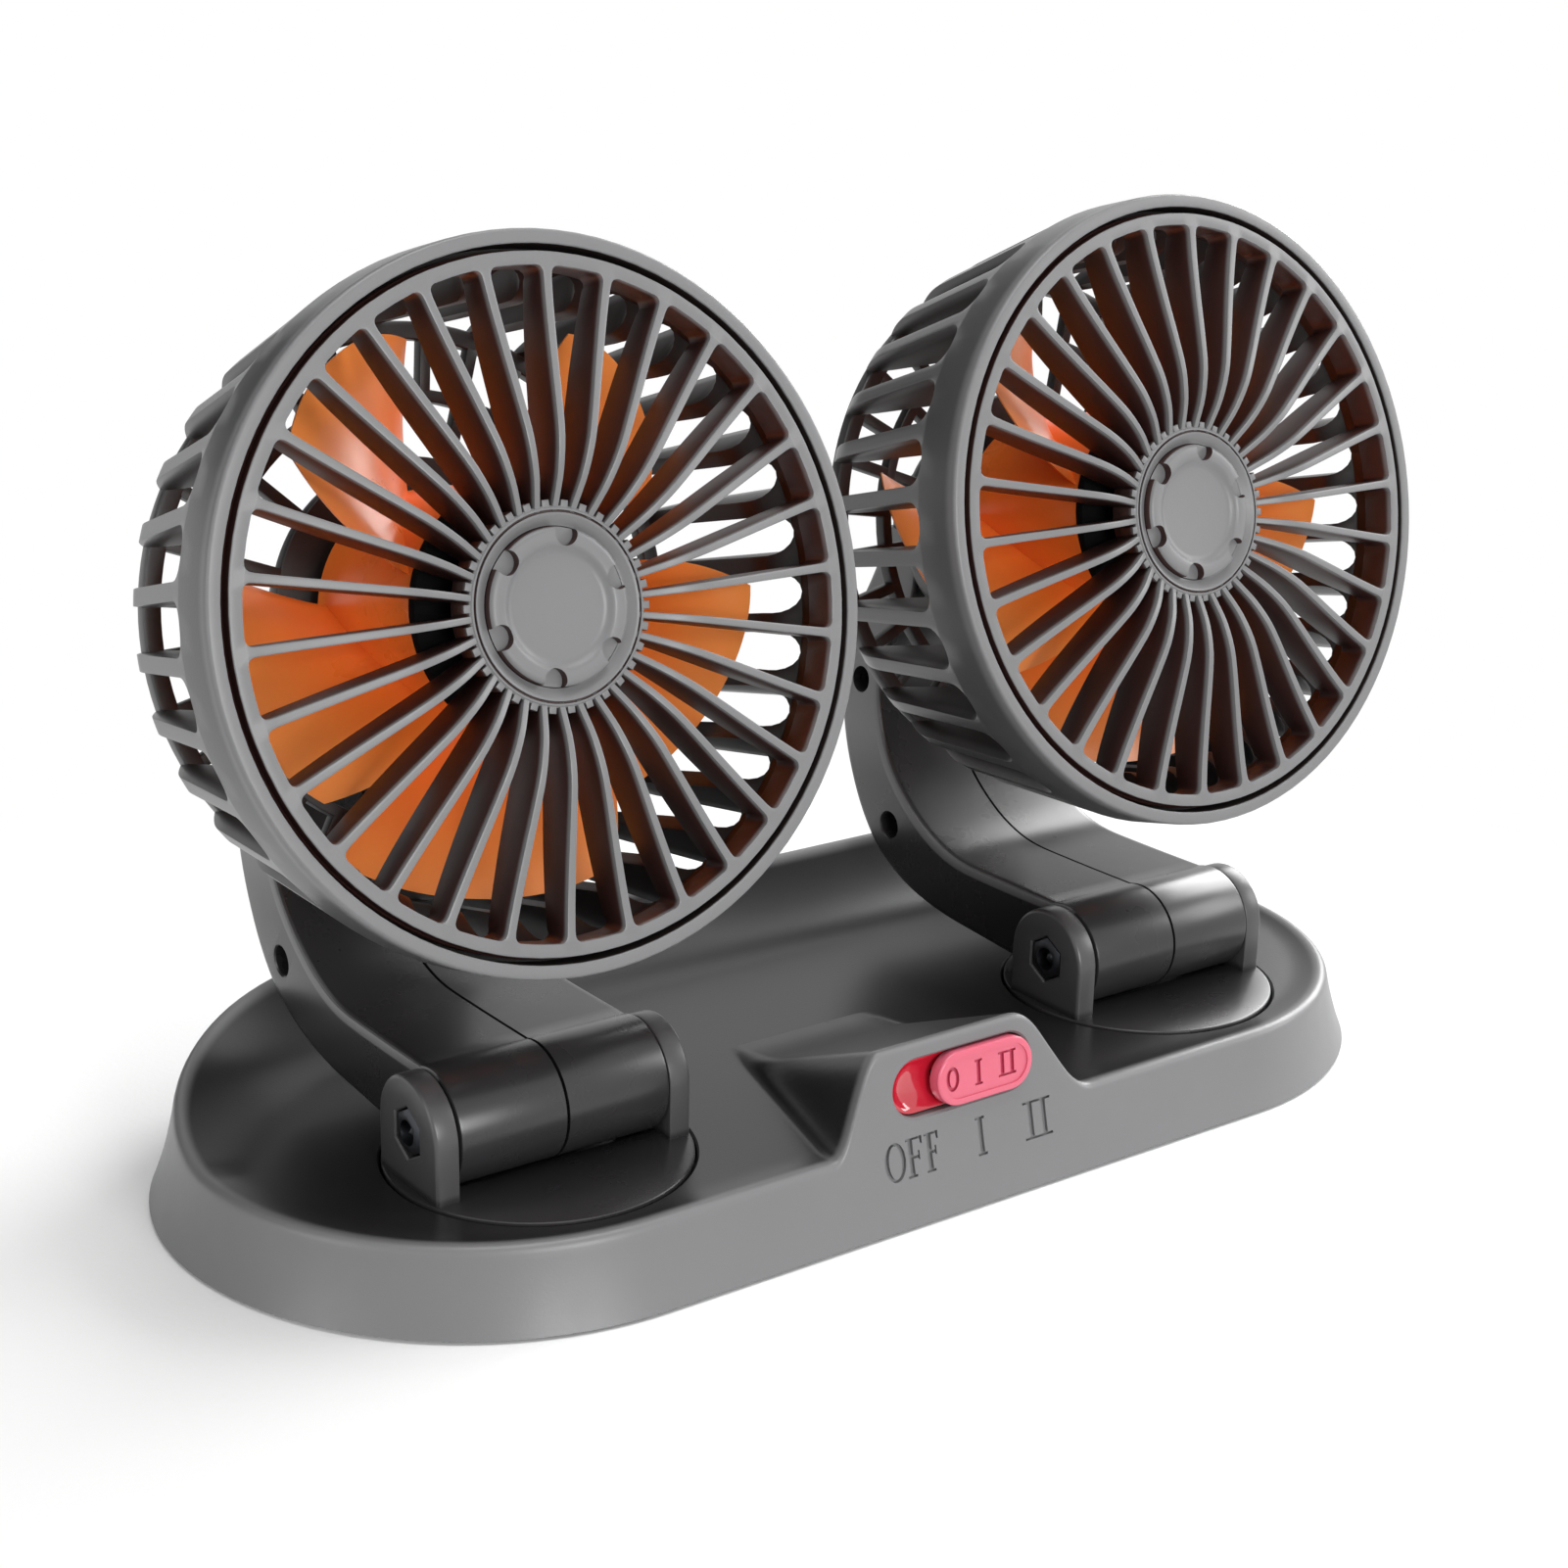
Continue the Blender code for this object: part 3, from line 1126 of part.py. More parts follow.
def blade(angle):
    """One broad blade: a helical sheet from inside the hub's wall to a round tip."""
    radial_steps = 2
    chord_steps = 4
    root = IMPELLER_HUB_RADIUS - IMPELLER_WALL / 2

    def point(out_share, chord_share, lift):
        radius = root + (BLADE_TIP - root) * out_share
        sweep = BLADE_ROOT_SWEEP + (BLADE_TIP_SWEEP - BLADE_ROOT_SWEEP) * out_share
        turn = (0.5 - chord_share) * sweep - BLADE_TIP_LAG * out_share
        curl = math.sin(math.pi * chord_share) * 0.06
        inset = (abs(2 * chord_share - 1.0) ** 3) * 0.04 * out_share
        radius -= inset * BLADE_TIP
        span = (BLADE_BACK - BLADE_FRONT) * (1.0 - 0.12 * out_share)
        middle = -(BLADE_FRONT + BLADE_BACK) / 2
        height = middle + span * (0.5 - chord_share) + curl * span + lift
        return (radius * math.cos(turn), radius * math.sin(turn), height)

    def build(shape):
        sheets = []
        for lift in (BLADE_THICK / 2, -BLADE_THICK / 2):
            sheet = []
            for out in range(radial_steps + 1):
                row = [
                    shape.verts.new(point(out / radial_steps, step / chord_steps, lift))
                    for step in range(chord_steps + 1)]
                sheet.append(row)
            sheets.append(sheet)
        for sheet in sheets:
            for near, far in zip(sheet, sheet[1:]):
                for step in range(chord_steps):
                    shape.faces.new((near[step], near[step + 1], far[step + 1], far[step]))
        edges = []
        for sheet in sheets:
            loop = list(sheet[0])
            loop += [row[-1] for row in sheet[1:]]
            loop += list(reversed(sheet[-1][:-1]))
            loop += [row[0] for row in reversed(sheet[1:-1])]
            edges.append(loop)
        for index in range(len(edges[0])):
            after = (index + 1) % len(edges[0])
            shape.faces.new((edges[0][index], edges[0][after], edges[1][after], edges[1][index]))

    return tool_object("blade", mesh_from(build), Matrix.Rotation(angle, 4, "Z"))


def build_impeller():
    """The hub cup, its shaft boss and the five blades, as one moulding."""
    inner = IMPELLER_HUB_RADIUS - IMPELLER_WALL
    bore = SHAFT_RADIUS + GAP
    floor = IMPELLER_HUB_FRONT + IMPELLER_WALL
    hub = turned([
        (0.0, -IMPELLER_HUB_FRONT),
        (IMPELLER_HUB_RADIUS - IMPELLER_ROUND, -IMPELLER_HUB_FRONT),
        (IMPELLER_HUB_RADIUS, -IMPELLER_HUB_FRONT - IMPELLER_ROUND),
        (IMPELLER_HUB_RADIUS, -IMPELLER_HUB_BACK),
        (inner, -IMPELLER_HUB_BACK),
        (inner, -floor),
        (IMPELLER_BOSS_RADIUS, -floor),
        (IMPELLER_BOSS_RADIUS, -IMPELLER_BOSS_BACK),
        (bore, -IMPELLER_BOSS_BACK),
        (bore, -SHAFT_FRONT + GAP),
        (0.0, -SHAFT_FRONT + GAP),
    ], 16)
    turns = [BLADE_PHASE + 2 * math.pi * index / BLADE_COUNT for index in range(BLADE_COUNT)]
    blades = [blade(turn) for turn in turns]
    inside = rod(
        inner, (0.0, 0.0, -IMPELLER_HUB_BACK - OVERRUN), (0.0, 0.0, -IMPELLER_BOSS_BACK), 16)
    body = join(hub, *blades)
    return finished(cut(body, inside))


def build_motor():
    """The motor can: bearing nub behind, and a bore for the shaft in front."""
    bore = SHAFT_RADIUS + GAP
    back = REAR_WALL_FRONT - GAP
    return finished(turned([
        (0.0, -SHAFT_BACK - SHAFT_END_ROOM),
        (bore, -SHAFT_BACK - SHAFT_END_ROOM),
        (bore, -MOTOR_FRONT),
        (MOTOR_RADIUS, -MOTOR_FRONT),
        (MOTOR_RADIUS, -back),
        (MOTOR_NUB_RADIUS, -back),
        (MOTOR_NUB_RADIUS, -REAR_WALL_BACK),
        (0.0, -REAR_WALL_BACK),
    ], 16))


def build_shaft():
    """The motor's shaft, which turns with the impeller."""
    return finished(rod(SHAFT_RADIUS, (0.0, 0.0, -SHAFT_BACK), (0.0, 0.0, -SHAFT_FRONT), 10))


def build_motor_cover():
    """The cup over the motor's rear, between the rear grille and the arm."""
    front = REAR_WALL_BACK + GAP
    inner = COVER_CUP_RADIUS - COVER_CUP_WALL
    cup = turned([
        (0.0, -COVER_CUP_BACK + COVER_CUP_WALL),
        (inner, -COVER_CUP_BACK + COVER_CUP_WALL),
        (inner, -front),
        (COVER_CUP_RADIUS, -front),
        (COVER_CUP_RADIUS, -COVER_CUP_BACK + COVER_CUP_ROUND),
        (COVER_CUP_RADIUS - COVER_CUP_ROUND, -COVER_CUP_BACK),
        (0.0, -COVER_CUP_BACK),
    ], 18)
    holes = []
    for side in (-1, 1):
        x = side * HEAD_SCREW_X
        holes.append(rod(
            SCREW_HOLE_RADIUS, (x, 0.0, -COVER_CUP_BACK - OVERRUN),
            (x, 0.0, -COVER_CUP_BACK + OVERRUN), 12))
    return finished(cut(cup, *holes))


def make_empty(name, matrix, parent=None):
    item = bpy.data.objects.new(name, None)
    item.empty_display_size = 0.01
    item.parent = parent
    item.matrix_local = matrix
    PARTS.objects.link(item)
    return item


def build_base_parts(paint):
    """Everything that stays still, and the switch's sliding thumb."""
    place_part("base_shell", build_base_shell(), paint["grey"])
    place_part("base_cover", build_base_cover(), paint["dark"])
    pad = plate(stadium(PAD_HALF_STRAIGHT, PAD_RADIUS, END_STEPS), 0.0, PAD_THICK)
    place_part("base_pad", finished(pad), paint["black"])
    screw = build_screw(
        SCREW_HEAD_RADIUS, SCREW_HEAD_THICK - BASE_SCREW_SINK, SCREW_SHANK_RADIUS,
        BASE_SCREW_LENGTH, Matrix.Rotation(math.pi, 4, "X"))
    for label, x, y in base_screw_places():
        place = (x, y, COVER_BOTTOM)
        place_part("base_screw_" + label, screw.copy(), paint["steel"], offset=place)
    place_part("cable_grommet", build_grommet(), paint["black"])
    frame = make_empty("switch_axis", slot_frame())
    place_part("switch_bezel", build_bezel(), paint["red"], frame)
    place_part("switch_body", build_switch_body(), paint["black"], frame)
    place_part("switch_slider", build_slider(), paint["pink"], frame)
    place_part("circuit_board", build_board(), paint["green"], frame)


def build_units(paint):
    """Each piece of a fan unit is built once, then placed in both units."""
    swivel_parts = (
        ("turntable", build_turntable(), "grey"),
        ("swivel_retainer", build_retainer(), "steel"),
        ("swivel_screw", build_swivel_screw(), "steel"),
        ("hinge_bolt", build_hinge_bolt(), "steel"),
        ("hinge_nut", build_hinge_nut(), "steel"),
    )
    tilt_parts = (
        ("arm_left_half", build_arm_half(-1), "grey"),
        ("arm_right_half", build_arm_half(1), "grey"),
        ("arm_screw_lower", build_arm_screw(ARM_SCREW_PLACE_SHARES[0]), "steel"),
        ("arm_screw_upper", build_arm_screw(ARM_SCREW_PLACE_SHARES[1]), "steel"),
    )
    head_parts = (
        ("housing", build_housing(), "grey"),
        ("front_grille", build_grille(), "grey"),
        ("hub_cap", build_hub_cap(), "grey"),
        ("motor", build_motor(), "steel"),
        ("motor_cover", build_motor_cover(), "black"),
        ("head_screw_left", build_head_screw(-1), "steel"),
        ("head_screw_right", build_head_screw(1), "steel"),
    )
    spin_parts = (
        ("impeller", build_impeller(), "orange"),
        ("motor_shaft", build_shaft(), "steel"),
    )
    for label, side in (("left", -1), ("right", 1)):
        swivel_place = Vector((side * UNIT_X, SWIVEL_Y, 0.0))
        hinge_place = Vector((0.0, HINGE_Y - SWIVEL_Y, HINGE_Z))
        head_place = Vector((0.0, HEAD_Y - HINGE_Y, HEAD_Z - HINGE_Z))
        swivel = make_empty(label + "_swivel_axis", Matrix.Translation(swivel_place))
        tilt = make_empty(label + "_tilt_axis", Matrix.Translation(hinge_place), swivel)
        lean = Matrix.Rotation(math.pi / 2 - HEAD_TILT, 4, "X")
        head = make_empty(label + "_head_axis", Matrix.Translation(head_place) @ lean, tilt)
        spin = make_empty(label + "_spin_axis", Matrix.Identity(4), head)
        groups = (
            (swivel_parts, swivel, (0.0, -SWIVEL_Y, 0.0)),
            (tilt_parts, tilt, (0.0, -HINGE_Y, -HINGE_Z)),
            (head_parts, head, (0.0, 0.0, 0.0)),
            (spin_parts, spin, (0.0, 0.0, 0.0)),
        )
        for parts, parent, offset in groups:
            for name, mesh, colour in parts:
                place_part(label + "_" + name, mesh.copy(), paint[colour], parent, offset)


def main():
    paint = {
        "grey": make_material("grey_abs", GREY_COLOUR, 0.45),
        "dark": make_material("dark_abs", DARK_COLOUR, 0.50),
        "black": make_material("black_plastic", BLACK_COLOUR, 0.50),
        "orange": make_material("orange_plastic", ORANGE_COLOUR, 0.35),
        "pink": make_material("pink_plastic", PINK_COLOUR, 0.30),
        "red": make_material("red_plastic", RED_COLOUR, 0.20),
        "steel": make_material("steel", STEEL_COLOUR, 0.35, 1.0),
        "green": make_material("circuit_board_green", GREEN_COLOUR, 0.45),
    }
    build_base_parts(paint)
    build_units(paint)
    bpy.context.view_layer.update()
    for item in PARTS.objects:
        if item.type == "MESH":
            item.data.calc_loop_triangles()
            print(item.name, len(item.data.loop_triangles))


main()
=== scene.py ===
"""Looks of a twin-head car fan, built round the fixed frame of its CAD parts.

Sizes are in millimetres; a finished mesh is turned to metres as it is shown. The origin is
the middle of the footprint on the ground, +Z is up, and the fans face -Y.
"""

import math

import bmesh
import bpy
from mathutils import Matrix, Vector
from mathutils.geometry import tessellate_polygon


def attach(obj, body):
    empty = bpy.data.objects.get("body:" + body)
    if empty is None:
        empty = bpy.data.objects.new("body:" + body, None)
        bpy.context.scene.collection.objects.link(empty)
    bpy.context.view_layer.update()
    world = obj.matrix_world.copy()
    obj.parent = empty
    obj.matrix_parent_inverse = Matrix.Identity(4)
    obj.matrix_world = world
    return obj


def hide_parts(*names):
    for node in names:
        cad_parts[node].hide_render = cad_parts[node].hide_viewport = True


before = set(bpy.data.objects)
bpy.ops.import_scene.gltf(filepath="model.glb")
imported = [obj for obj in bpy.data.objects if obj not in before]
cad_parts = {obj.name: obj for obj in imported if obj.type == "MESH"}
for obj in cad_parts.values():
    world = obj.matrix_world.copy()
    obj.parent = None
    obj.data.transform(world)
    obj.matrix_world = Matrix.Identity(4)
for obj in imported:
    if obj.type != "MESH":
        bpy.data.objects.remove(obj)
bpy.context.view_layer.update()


# Bottom cover, foot pad and base screws.
# The cover is a flat lid of injection-moulded ABS, fixed by four pan-head screws in sunk
# holes. A sheet of black foamed rubber is glued under it, so that the fan stands still on
# a dashboard.


def linear(code):
    """An sRGB hex colour as the linear values that a shader takes."""
    shares = [int(code[place:place + 2], 16) / 255 for place in (1, 3, 5)]
    return (*[s / 12.92 if s <= 0.04045 else ((s + 0.055) / 1.055) ** 2.4 for s in shares], 1.0)


def add_node(tree, kind, inputs=None, **settings):
    """Adds a node with its settings, and sets or links its inputs."""
    node = tree.nodes.new(kind)
    for name, value in settings.items():
        setattr(node, name, value)
    for key, value in (inputs or {}).items():
        if isinstance(value, bpy.types.NodeSocket):
            tree.links.new(value, node.inputs[key])
        else:
            node.inputs[key].default_value = value
    return node


def moulded(name, colour, shade, polish, grain, relief, cloud=18.0, **values):
    """A moulded finish: clouds of tone and polish, and the mould's fine grain as relief.

    grain and cloud are the sizes in millimetres of one grain and one cloud, relief is the
    grain's height, and polish is the roughness's lowest and highest value.
    """
    material = bpy.data.materials.new(name)
    material.use_nodes = True
    tree = material.node_tree
    shader = tree.nodes["Principled BSDF"]
    place = add_node(tree, "ShaderNodeTexCoord").outputs["Object"]
    clouds = add_node(tree, "ShaderNodeTexNoise", {
        "Vector": place, "Scale": 1000 / cloud, "Detail": 4.0, "Roughness": 0.6}).outputs["Fac"]
    grains = add_node(tree, "ShaderNodeTexNoise", {
        "Vector": place, "Scale": 1000 / grain, "Detail": 2.0}).outputs["Fac"]
    tone = add_node(tree, "ShaderNodeMix", {
        "Factor": clouds, 6: linear(colour), 7: linear(shade)}, data_type="RGBA")
    tree.links.new(tone.outputs[2], shader.inputs["Base Color"])
    wear = add_node(tree, "ShaderNodeMapRange", {
        "Value": clouds, "From Min": 0.3, "From Max": 0.7, "To Min": polish[0],
        "To Max": polish[1]})
    tree.links.new(wear.outputs["Result"], shader.inputs["Roughness"])
    bump = add_node(tree, "ShaderNodeBump", {
        "Height": grains, "Strength": 1.0, "Distance": relief / 1000})
    tree.links.new(bump.outputs["Normal"], shader.inputs["Normal"])
    for socket, value in values.items():
        shader.inputs[socket.replace("_", " ")].default_value = value
    return material


def mesh_of(build, place=None):
    """A mesh drawn by a function into a bmesh, its faces pointing outwards."""
    shape = bmesh.new()
    build(shape)
    bmesh.ops.recalc_face_normals(shape, faces=shape.faces)
    mesh = bpy.data.meshes.new("shape")
    shape.to_mesh(mesh)
    shape.free()
    if place is not None:
        mesh.transform(place)
    return mesh


def placed(x, y, z, turn=0.0, axis="X"):
    """The place at a point, of what is first turned about an axis."""
    return Matrix.Translation((x, y, z)) @ Matrix.Rotation(turn, 4, axis)


def lathe(profile, steps, closed=False, place=None):
    """A profile of (radius, height) points, turned round the Z axis."""

    def build(shape):
        rings = []
        for radius, height in profile:
            turns = [2 * math.pi * step / steps for step in range(steps if radius > 0 else 1)]
            rings.append([
                shape.verts.new((radius * math.cos(turn), radius * math.sin(turn), height))
                for turn in turns])
        if closed:
            rings.append(rings[0])
        for ring, beyond in zip(rings, rings[1:]):
            for step in range(steps):
                after = (step + 1) % steps
                corners = [
                    ring[step % len(ring)], ring[after % len(ring)],
                    beyond[after % len(beyond)], beyond[step % len(beyond)]]
                corners = list(dict.fromkeys(corners))
                if len(corners) > 2:
                    shape.faces.new(corners)

    return mesh_of(build, place)


def inset(outline, distance):
    """A convex outline moved inwards by a distance."""
    turn = sum(a[0] * b[1] - b[0] * a[1] for a, b in zip(outline, outline[1:] + outline[:1]))
    side = 1 if turn > 0 else -1
    moved = []
    for index, point in enumerate(outline):
        corner = Vector(point)
        along = (corner - Vector(outline[index - 1])).normalized()
        onward = (Vector(outline[(index + 1) % len(outline)]) - corner).normalized()
        first = Vector((-along.y, along.x)) * side
        second = Vector((-onward.y, onward.x)) * side
        moved.append(tuple(corner + (first + second) * distance / (1 + first.dot(second))))
    return moved


def strip(shape, row, beyond, closed=False):
    """Joins two rows of points, or two rings of them, with four-sided faces."""
    if closed:
        row, beyond = [*row, row[0]], [*beyond, beyond[0]]
    for corners in zip(row, row[1:], beyond[1:], beyond):
        shape.faces.new(corners)


def skinned(shape, rings):
    """Joins each ring of points to the next one, and closes both ends."""
    for ring, beyond in zip(rings, rings[1:]):
        strip(shape, ring, beyond, closed=True)
    shape.faces.new(rings[0])
    shape.faces.new(rings[-1])


def stacked(outline, levels, place=None):
    """A solid through a convex outline, moved inwards by so much at each height."""

    def build(shape):
        skinned(shape, [
            [shape.verts.new((*point, height)) for point in inset(outline, inwards)]
            for inwards, height in levels])

    return mesh_of(build, place)


def oblong(low_x, low_y, high_x, high_y):
    return [(low_x, low_y), (high_x, low_y), (high_x, high_y), (low_x, high_y)]


def plate(outline, low, high, bottom=0.0, top=0.0, place=None, steps=3):
    """A convex outline thickened from low to high, its two edges rounded off."""
    levels = []
    for step in range(steps + 1):
        bend = math.pi / 2 * step / steps
        levels.append((bottom * (1 - math.sin(bend)), low + bottom * (1 - math.cos(bend))))
    for step in range(steps + 1):
        bend = math.pi / 2 * (1 - step / steps)
        levels.append((top * (1 - math.sin(bend)), high - top * (1 - math.cos(bend))))
    levels = dict.fromkeys((round(inwards, 5), round(level, 5)) for inwards, level in levels)
    return stacked(outline, levels, place)


def stadium(half_straight, radius, steps=24):
    """A long outline with two round ends."""
    points = []
    for side in (1, -1):
        for step in range(steps + 1):
            turn = math.pi * step / steps - math.pi / 2
            points.append((
                side * (half_straight + radius * math.cos(turn)), side * radius * math.sin(turn)))
    return points


def merged(meshes):
    """Several meshes as one, as separate bodies in it."""
    shape = bmesh.new()
    for mesh in meshes:
        shape.from_mesh(mesh)
    mesh = bpy.data.meshes.new("merged")
    shape.to_mesh(mesh)
    shape.free()
    return mesh


def working(mesh):
    """A mesh as an object in the scene, for modifiers to work on."""
    item = bpy.data.objects.new("working", mesh)
    bpy.context.scene.collection.objects.link(item)
    return item


def outcome(item, *others):
    """The mesh that an item's modifiers make. The item and the others are put away."""
    bpy.context.view_layer.update()
    graph = bpy.context.evaluated_depsgraph_get()
    mesh = bpy.data.meshes.new_from_object(item.evaluated_get(graph))
    for used in (item, *others):
        bpy.data.objects.remove(used)
    return mesh


def carved(mesh, *others, operation="DIFFERENCE"):
    """The mesh with the others cut away from it, or joined on."""
    first, *rest = [working(source) for source in (mesh, *others)]
    for other in rest:
        step = first.modifiers.new("step", "BOOLEAN")
        step.operation = operation
        step.object = other
        step.solver = "EXACT"
    result = outcome(first, *rest)
    shape = bmesh.new()
    shape.from_mesh(result)
    bmesh.ops.remove_doubles(shape, verts=shape.verts, dist=0.002)
    bmesh.ops.dissolve_degenerate(shape, edges=shape.edges, dist=0.002)
    shape.to_mesh(result)
    shape.free()
    return result


def show(name, mesh, material, body, slot, *nodes, crease=32.0):
    """Puts a mesh into the scene as one named piece, which stands for the CAD nodes named."""
    mesh.transform(Matrix.Scale(0.001, 4))
    mesh.materials.clear()
    mesh.materials.append(material)
    mesh.shade_smooth()
    mesh.set_sharp_from_angle(angle=math.radians(crease))
    piece = bpy.data.objects.new(name, mesh)
    bpy.context.scene.collection.objects.link(piece)
    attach(piece, body)
    if nodes:
        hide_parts(*nodes)


def screw(head_radius, head_thick, shank_radius, length, pitch, place):
    """A pan-head screw: its head's top at zero with a cross recess, its thread downwards."""
    dome = 0.35 * head_thick
    profile = [(0.0, 0.0), (0.45 * head_radius, 0.0), (0.85 * head_radius, -0.35 * dome)]
    profile += [(head_radius, -dome), (head_radius, -head_thick), (shank_radius, -head_thick)]
    depth = head_thick + 0.3
    while depth + pitch < length - shank_radius:
        profile += [(0.78 * shank_radius, -depth), (shank_radius, -depth - 0.45 * pitch)]
        profile.append((0.78 * shank_radius, -depth - 0.9 * pitch))
        depth += pitch
    profile += [(0.7 * shank_radius, -length + 0.8 * shank_radius), (0.0, -length)]
    body = lathe(profile, 20)
    arm, width, sink = 0.62 * head_radius, 0.17 * head_radius, 0.55 * head_thick
    for half_x, half_y in ((arm, width), (width, arm)):
        body = carved(body, plate(oblong(-half_x, -half_y, half_x, half_y), -sink, 1.0))
    body.transform(place)
    return body


def small_screw(length, place, head_thick=1.3):
    """The tapping screw of 2 mm that holds the fan's plastic pieces together."""
    return screw(2.2, head_thick, 1.0, length, 0.7, place)


dark_abs = moulded(  # Black-grey ABS from a sparked mould: dull, even, faintly grainy.
    "dark_abs_moulded", "#2B2B2C", "#242425", (0.42, 0.52), 0.5, 0.02)
foam_rubber = moulded(  # Foamed black rubber: soft, dusty, no highlight.
    "black_rubber_foamed", "#161616", "#202020", (0.75, 0.9), 0.6, 0.05, 9.0)
zinc_steel = moulded(  # Zinc-plated steel: a soft grey metal with a blue cast.
    "steel_zinc_plated", "#A9ADB2", "#8E9298", (0.28, 0.42), 0.8, 0.01, 3.0, Metallic=1.0)

COVER_LOW, COVER_HIGH = 1.5, 3.5
COVER_HALF_STRAIGHT, COVER_RADIUS = 63.47, 51.3
PILOT = 1.3  # The radius of the hole round each small screw's thread.
BASE_SCREWS = ((-32.5, -36.5), (29.5, -37.0), (-62.0, 31.0), (62.0, 31.0))
BASE_SCREW_NAMES = ("front_left", "front_right", "back_left", "back_right")
cover = plate(stadium(COVER_HALF_STRAIGHT, COVER_RADIUS, 32), COVER_LOW, COVER_HIGH, 0.5, 0.2)
sunk = []
for x, y in BASE_SCREWS:
    sunk.append(lathe(
        [(0.0, -2.0), (3.1, -2.0), (3.1, COVER_LOW), (2.5, COVER_LOW + 0.5), (2.5, 2.8),
         (PILOT, 2.8), (PILOT, 6.0), (0.0, 6.0)], 24, place=placed(x, y, 0.0)))
show("bottom_cover", carved(cover, merged(sunk)), dark_abs, "base", "dark_plastic", "base_cover")
for (x, y), label in zip(BASE_SCREWS, BASE_SCREW_NAMES):
    turned_over = placed(x, y, COVER_LOW, math.pi)
    show("screw_" + label, small_screw(8.0, turned_over, 1.1), zinc_steel, "base", "steel",
         "base_screw_" + label)

pad = plate(stadium(52.0, 26.0, 32), 0.0, 1.2, 0.25, 0.1)
show("foot_pad", pad, foam_rubber, "base", "black_rubber", "base_pad")


# Switch's works.
# Behind the switch stands a green glass-epoxy board, and on it the black nylon casing in
# which the slider's stem runs. Both sit inside the closed base, and keep their CAD shapes.

black_nylon = moulded(  # Black nylon: deep black with a dry half-shine.
    "black_nylon_moulded", "#141414", "#1C1C1C", (0.4, 0.52), 0.5, 0.01)
solder_mask = moulded(  # Green lacquer over copper: glossy, slightly uneven in tone.
    "glass_epoxy_green_mask", "#0F5A2C", "#147038", (0.22, 0.35), 2.5, 0.02, 6.0)
for node, material in (("switch_body", black_nylon), ("circuit_board", solder_mask)):
    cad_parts[node].data.materials.clear()
    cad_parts[node].data.materials.append(material)


# Base shell.
# The upper shell is one ABS moulding: a flared skirt, a rounded rim that climbs towards the
# back, a dished deck with two round seats, and a wedge at the front round the slide switch.
# Its position marks are cut into the skirt. The skirt is satin; the dished deck is more polished and
# painted much darker, as painted shade.

UNIT_X, SWIVEL_Y = 65.34, -20.02
HALF_STRAIGHT = 63.47
DECK, RIM, RIM_RISE, RISE_SPAN = 13.035, 14.025, 10.725, 49.5
COVE_FRONT, COVE_BACK = 7.0, 30.0
HUMP_X, HUMP_FOOT, HUMP_HALF_TOPS, HUMP_TAPER = -2.475, 24.8, (18.6, 14.2), 0.27
HUMP_TOP, HUMP_FALL = 30.03, 38.66
SKIRT_LOW, WALL = 0.4, 2.2
SKIRT_CORE, SKIRT_FLARE, FLARE_FALL = 47.3, 8.03, 18.15
RIM_ROUND, BLEND = 1.7, 4.5
SKIRT_STEPS, TOP_STEPS, END_STEPS = 12, 34, 56


def rounded(start, corner, end, share):
    """A point on the curve that rounds a corner off."""
    return tuple(start * (1 - share) ** 2 + corner * 2 * share * (1 - share) + end * share ** 2)


def eased(points, radius, closed=True, steps=3, keep=()):
    """A polyline with its corners rounded, apart from those whose numbers are kept."""
    smooth = []
    for index, point in enumerate(points):
        corner = Vector(point)
        if index in keep or (not closed and index in (0, len(points) - 1)):
            smooth.append(tuple(corner))
            continue
        before = Vector(points[index - 1]) - corner
        after = Vector(points[(index + 1) % len(points)]) - corner
        start = corner + before.normalized() * min(radius, 0.45 * before.length)
        end = corner + after.normalized() * min(radius, 0.45 * after.length)
        smooth += [rounded(start, corner, end, step / steps) for step in range(steps + 1)]
    return smooth


def cylinder(radius, low, high, steps, place=None, ease=0.0):
    profile = [(0.0, low), (radius, low), (radius, high), (0.0, high)]
    if ease > 0:
        profile = eased(profile, ease, closed=False, steps=2)
    return lathe(profile, steps, place=place)


def rod(radius, start, end, steps=24, ease=0.0):
    """A round bar between two points."""
    start, end = Vector(start), Vector(end)
    along = end - start
    place = Matrix.Translation(start) @ along.to_track_quat("Z", "Y").to_matrix().to_4x4()
    return cylinder(radius, 0.0, along.length, steps, place, ease)


def joined(mesh, *others):
    return carved(mesh, *others, operation="UNION")


def measured(mesh, name, value):
    """Gives each point of the mesh a number, which a function works out from its place."""
    numbers = mesh.attributes.new(name, "FLOAT", "POINT").data
    for vertex in mesh.vertices:
        numbers[vertex.index].value = value(*vertex.co)


def skirt_radius(height):
    """The skirt flares towards its foot."""
    return SKIRT_CORE + SKIRT_FLARE * math.exp(-height / FLARE_FALL)


def skirt_lean(height):
    return math.atan(SKIRT_FLARE / FLARE_FALL * math.exp(-height / FLARE_FALL))


def smooth_max(first, second):
    overlap = max(0.0, BLEND - abs(first - second))
    return max(first, second) + overlap * overlap / (4 * BLEND)


def rise(y):
    return min(1.0, max(0.0, y / RISE_SPAN))


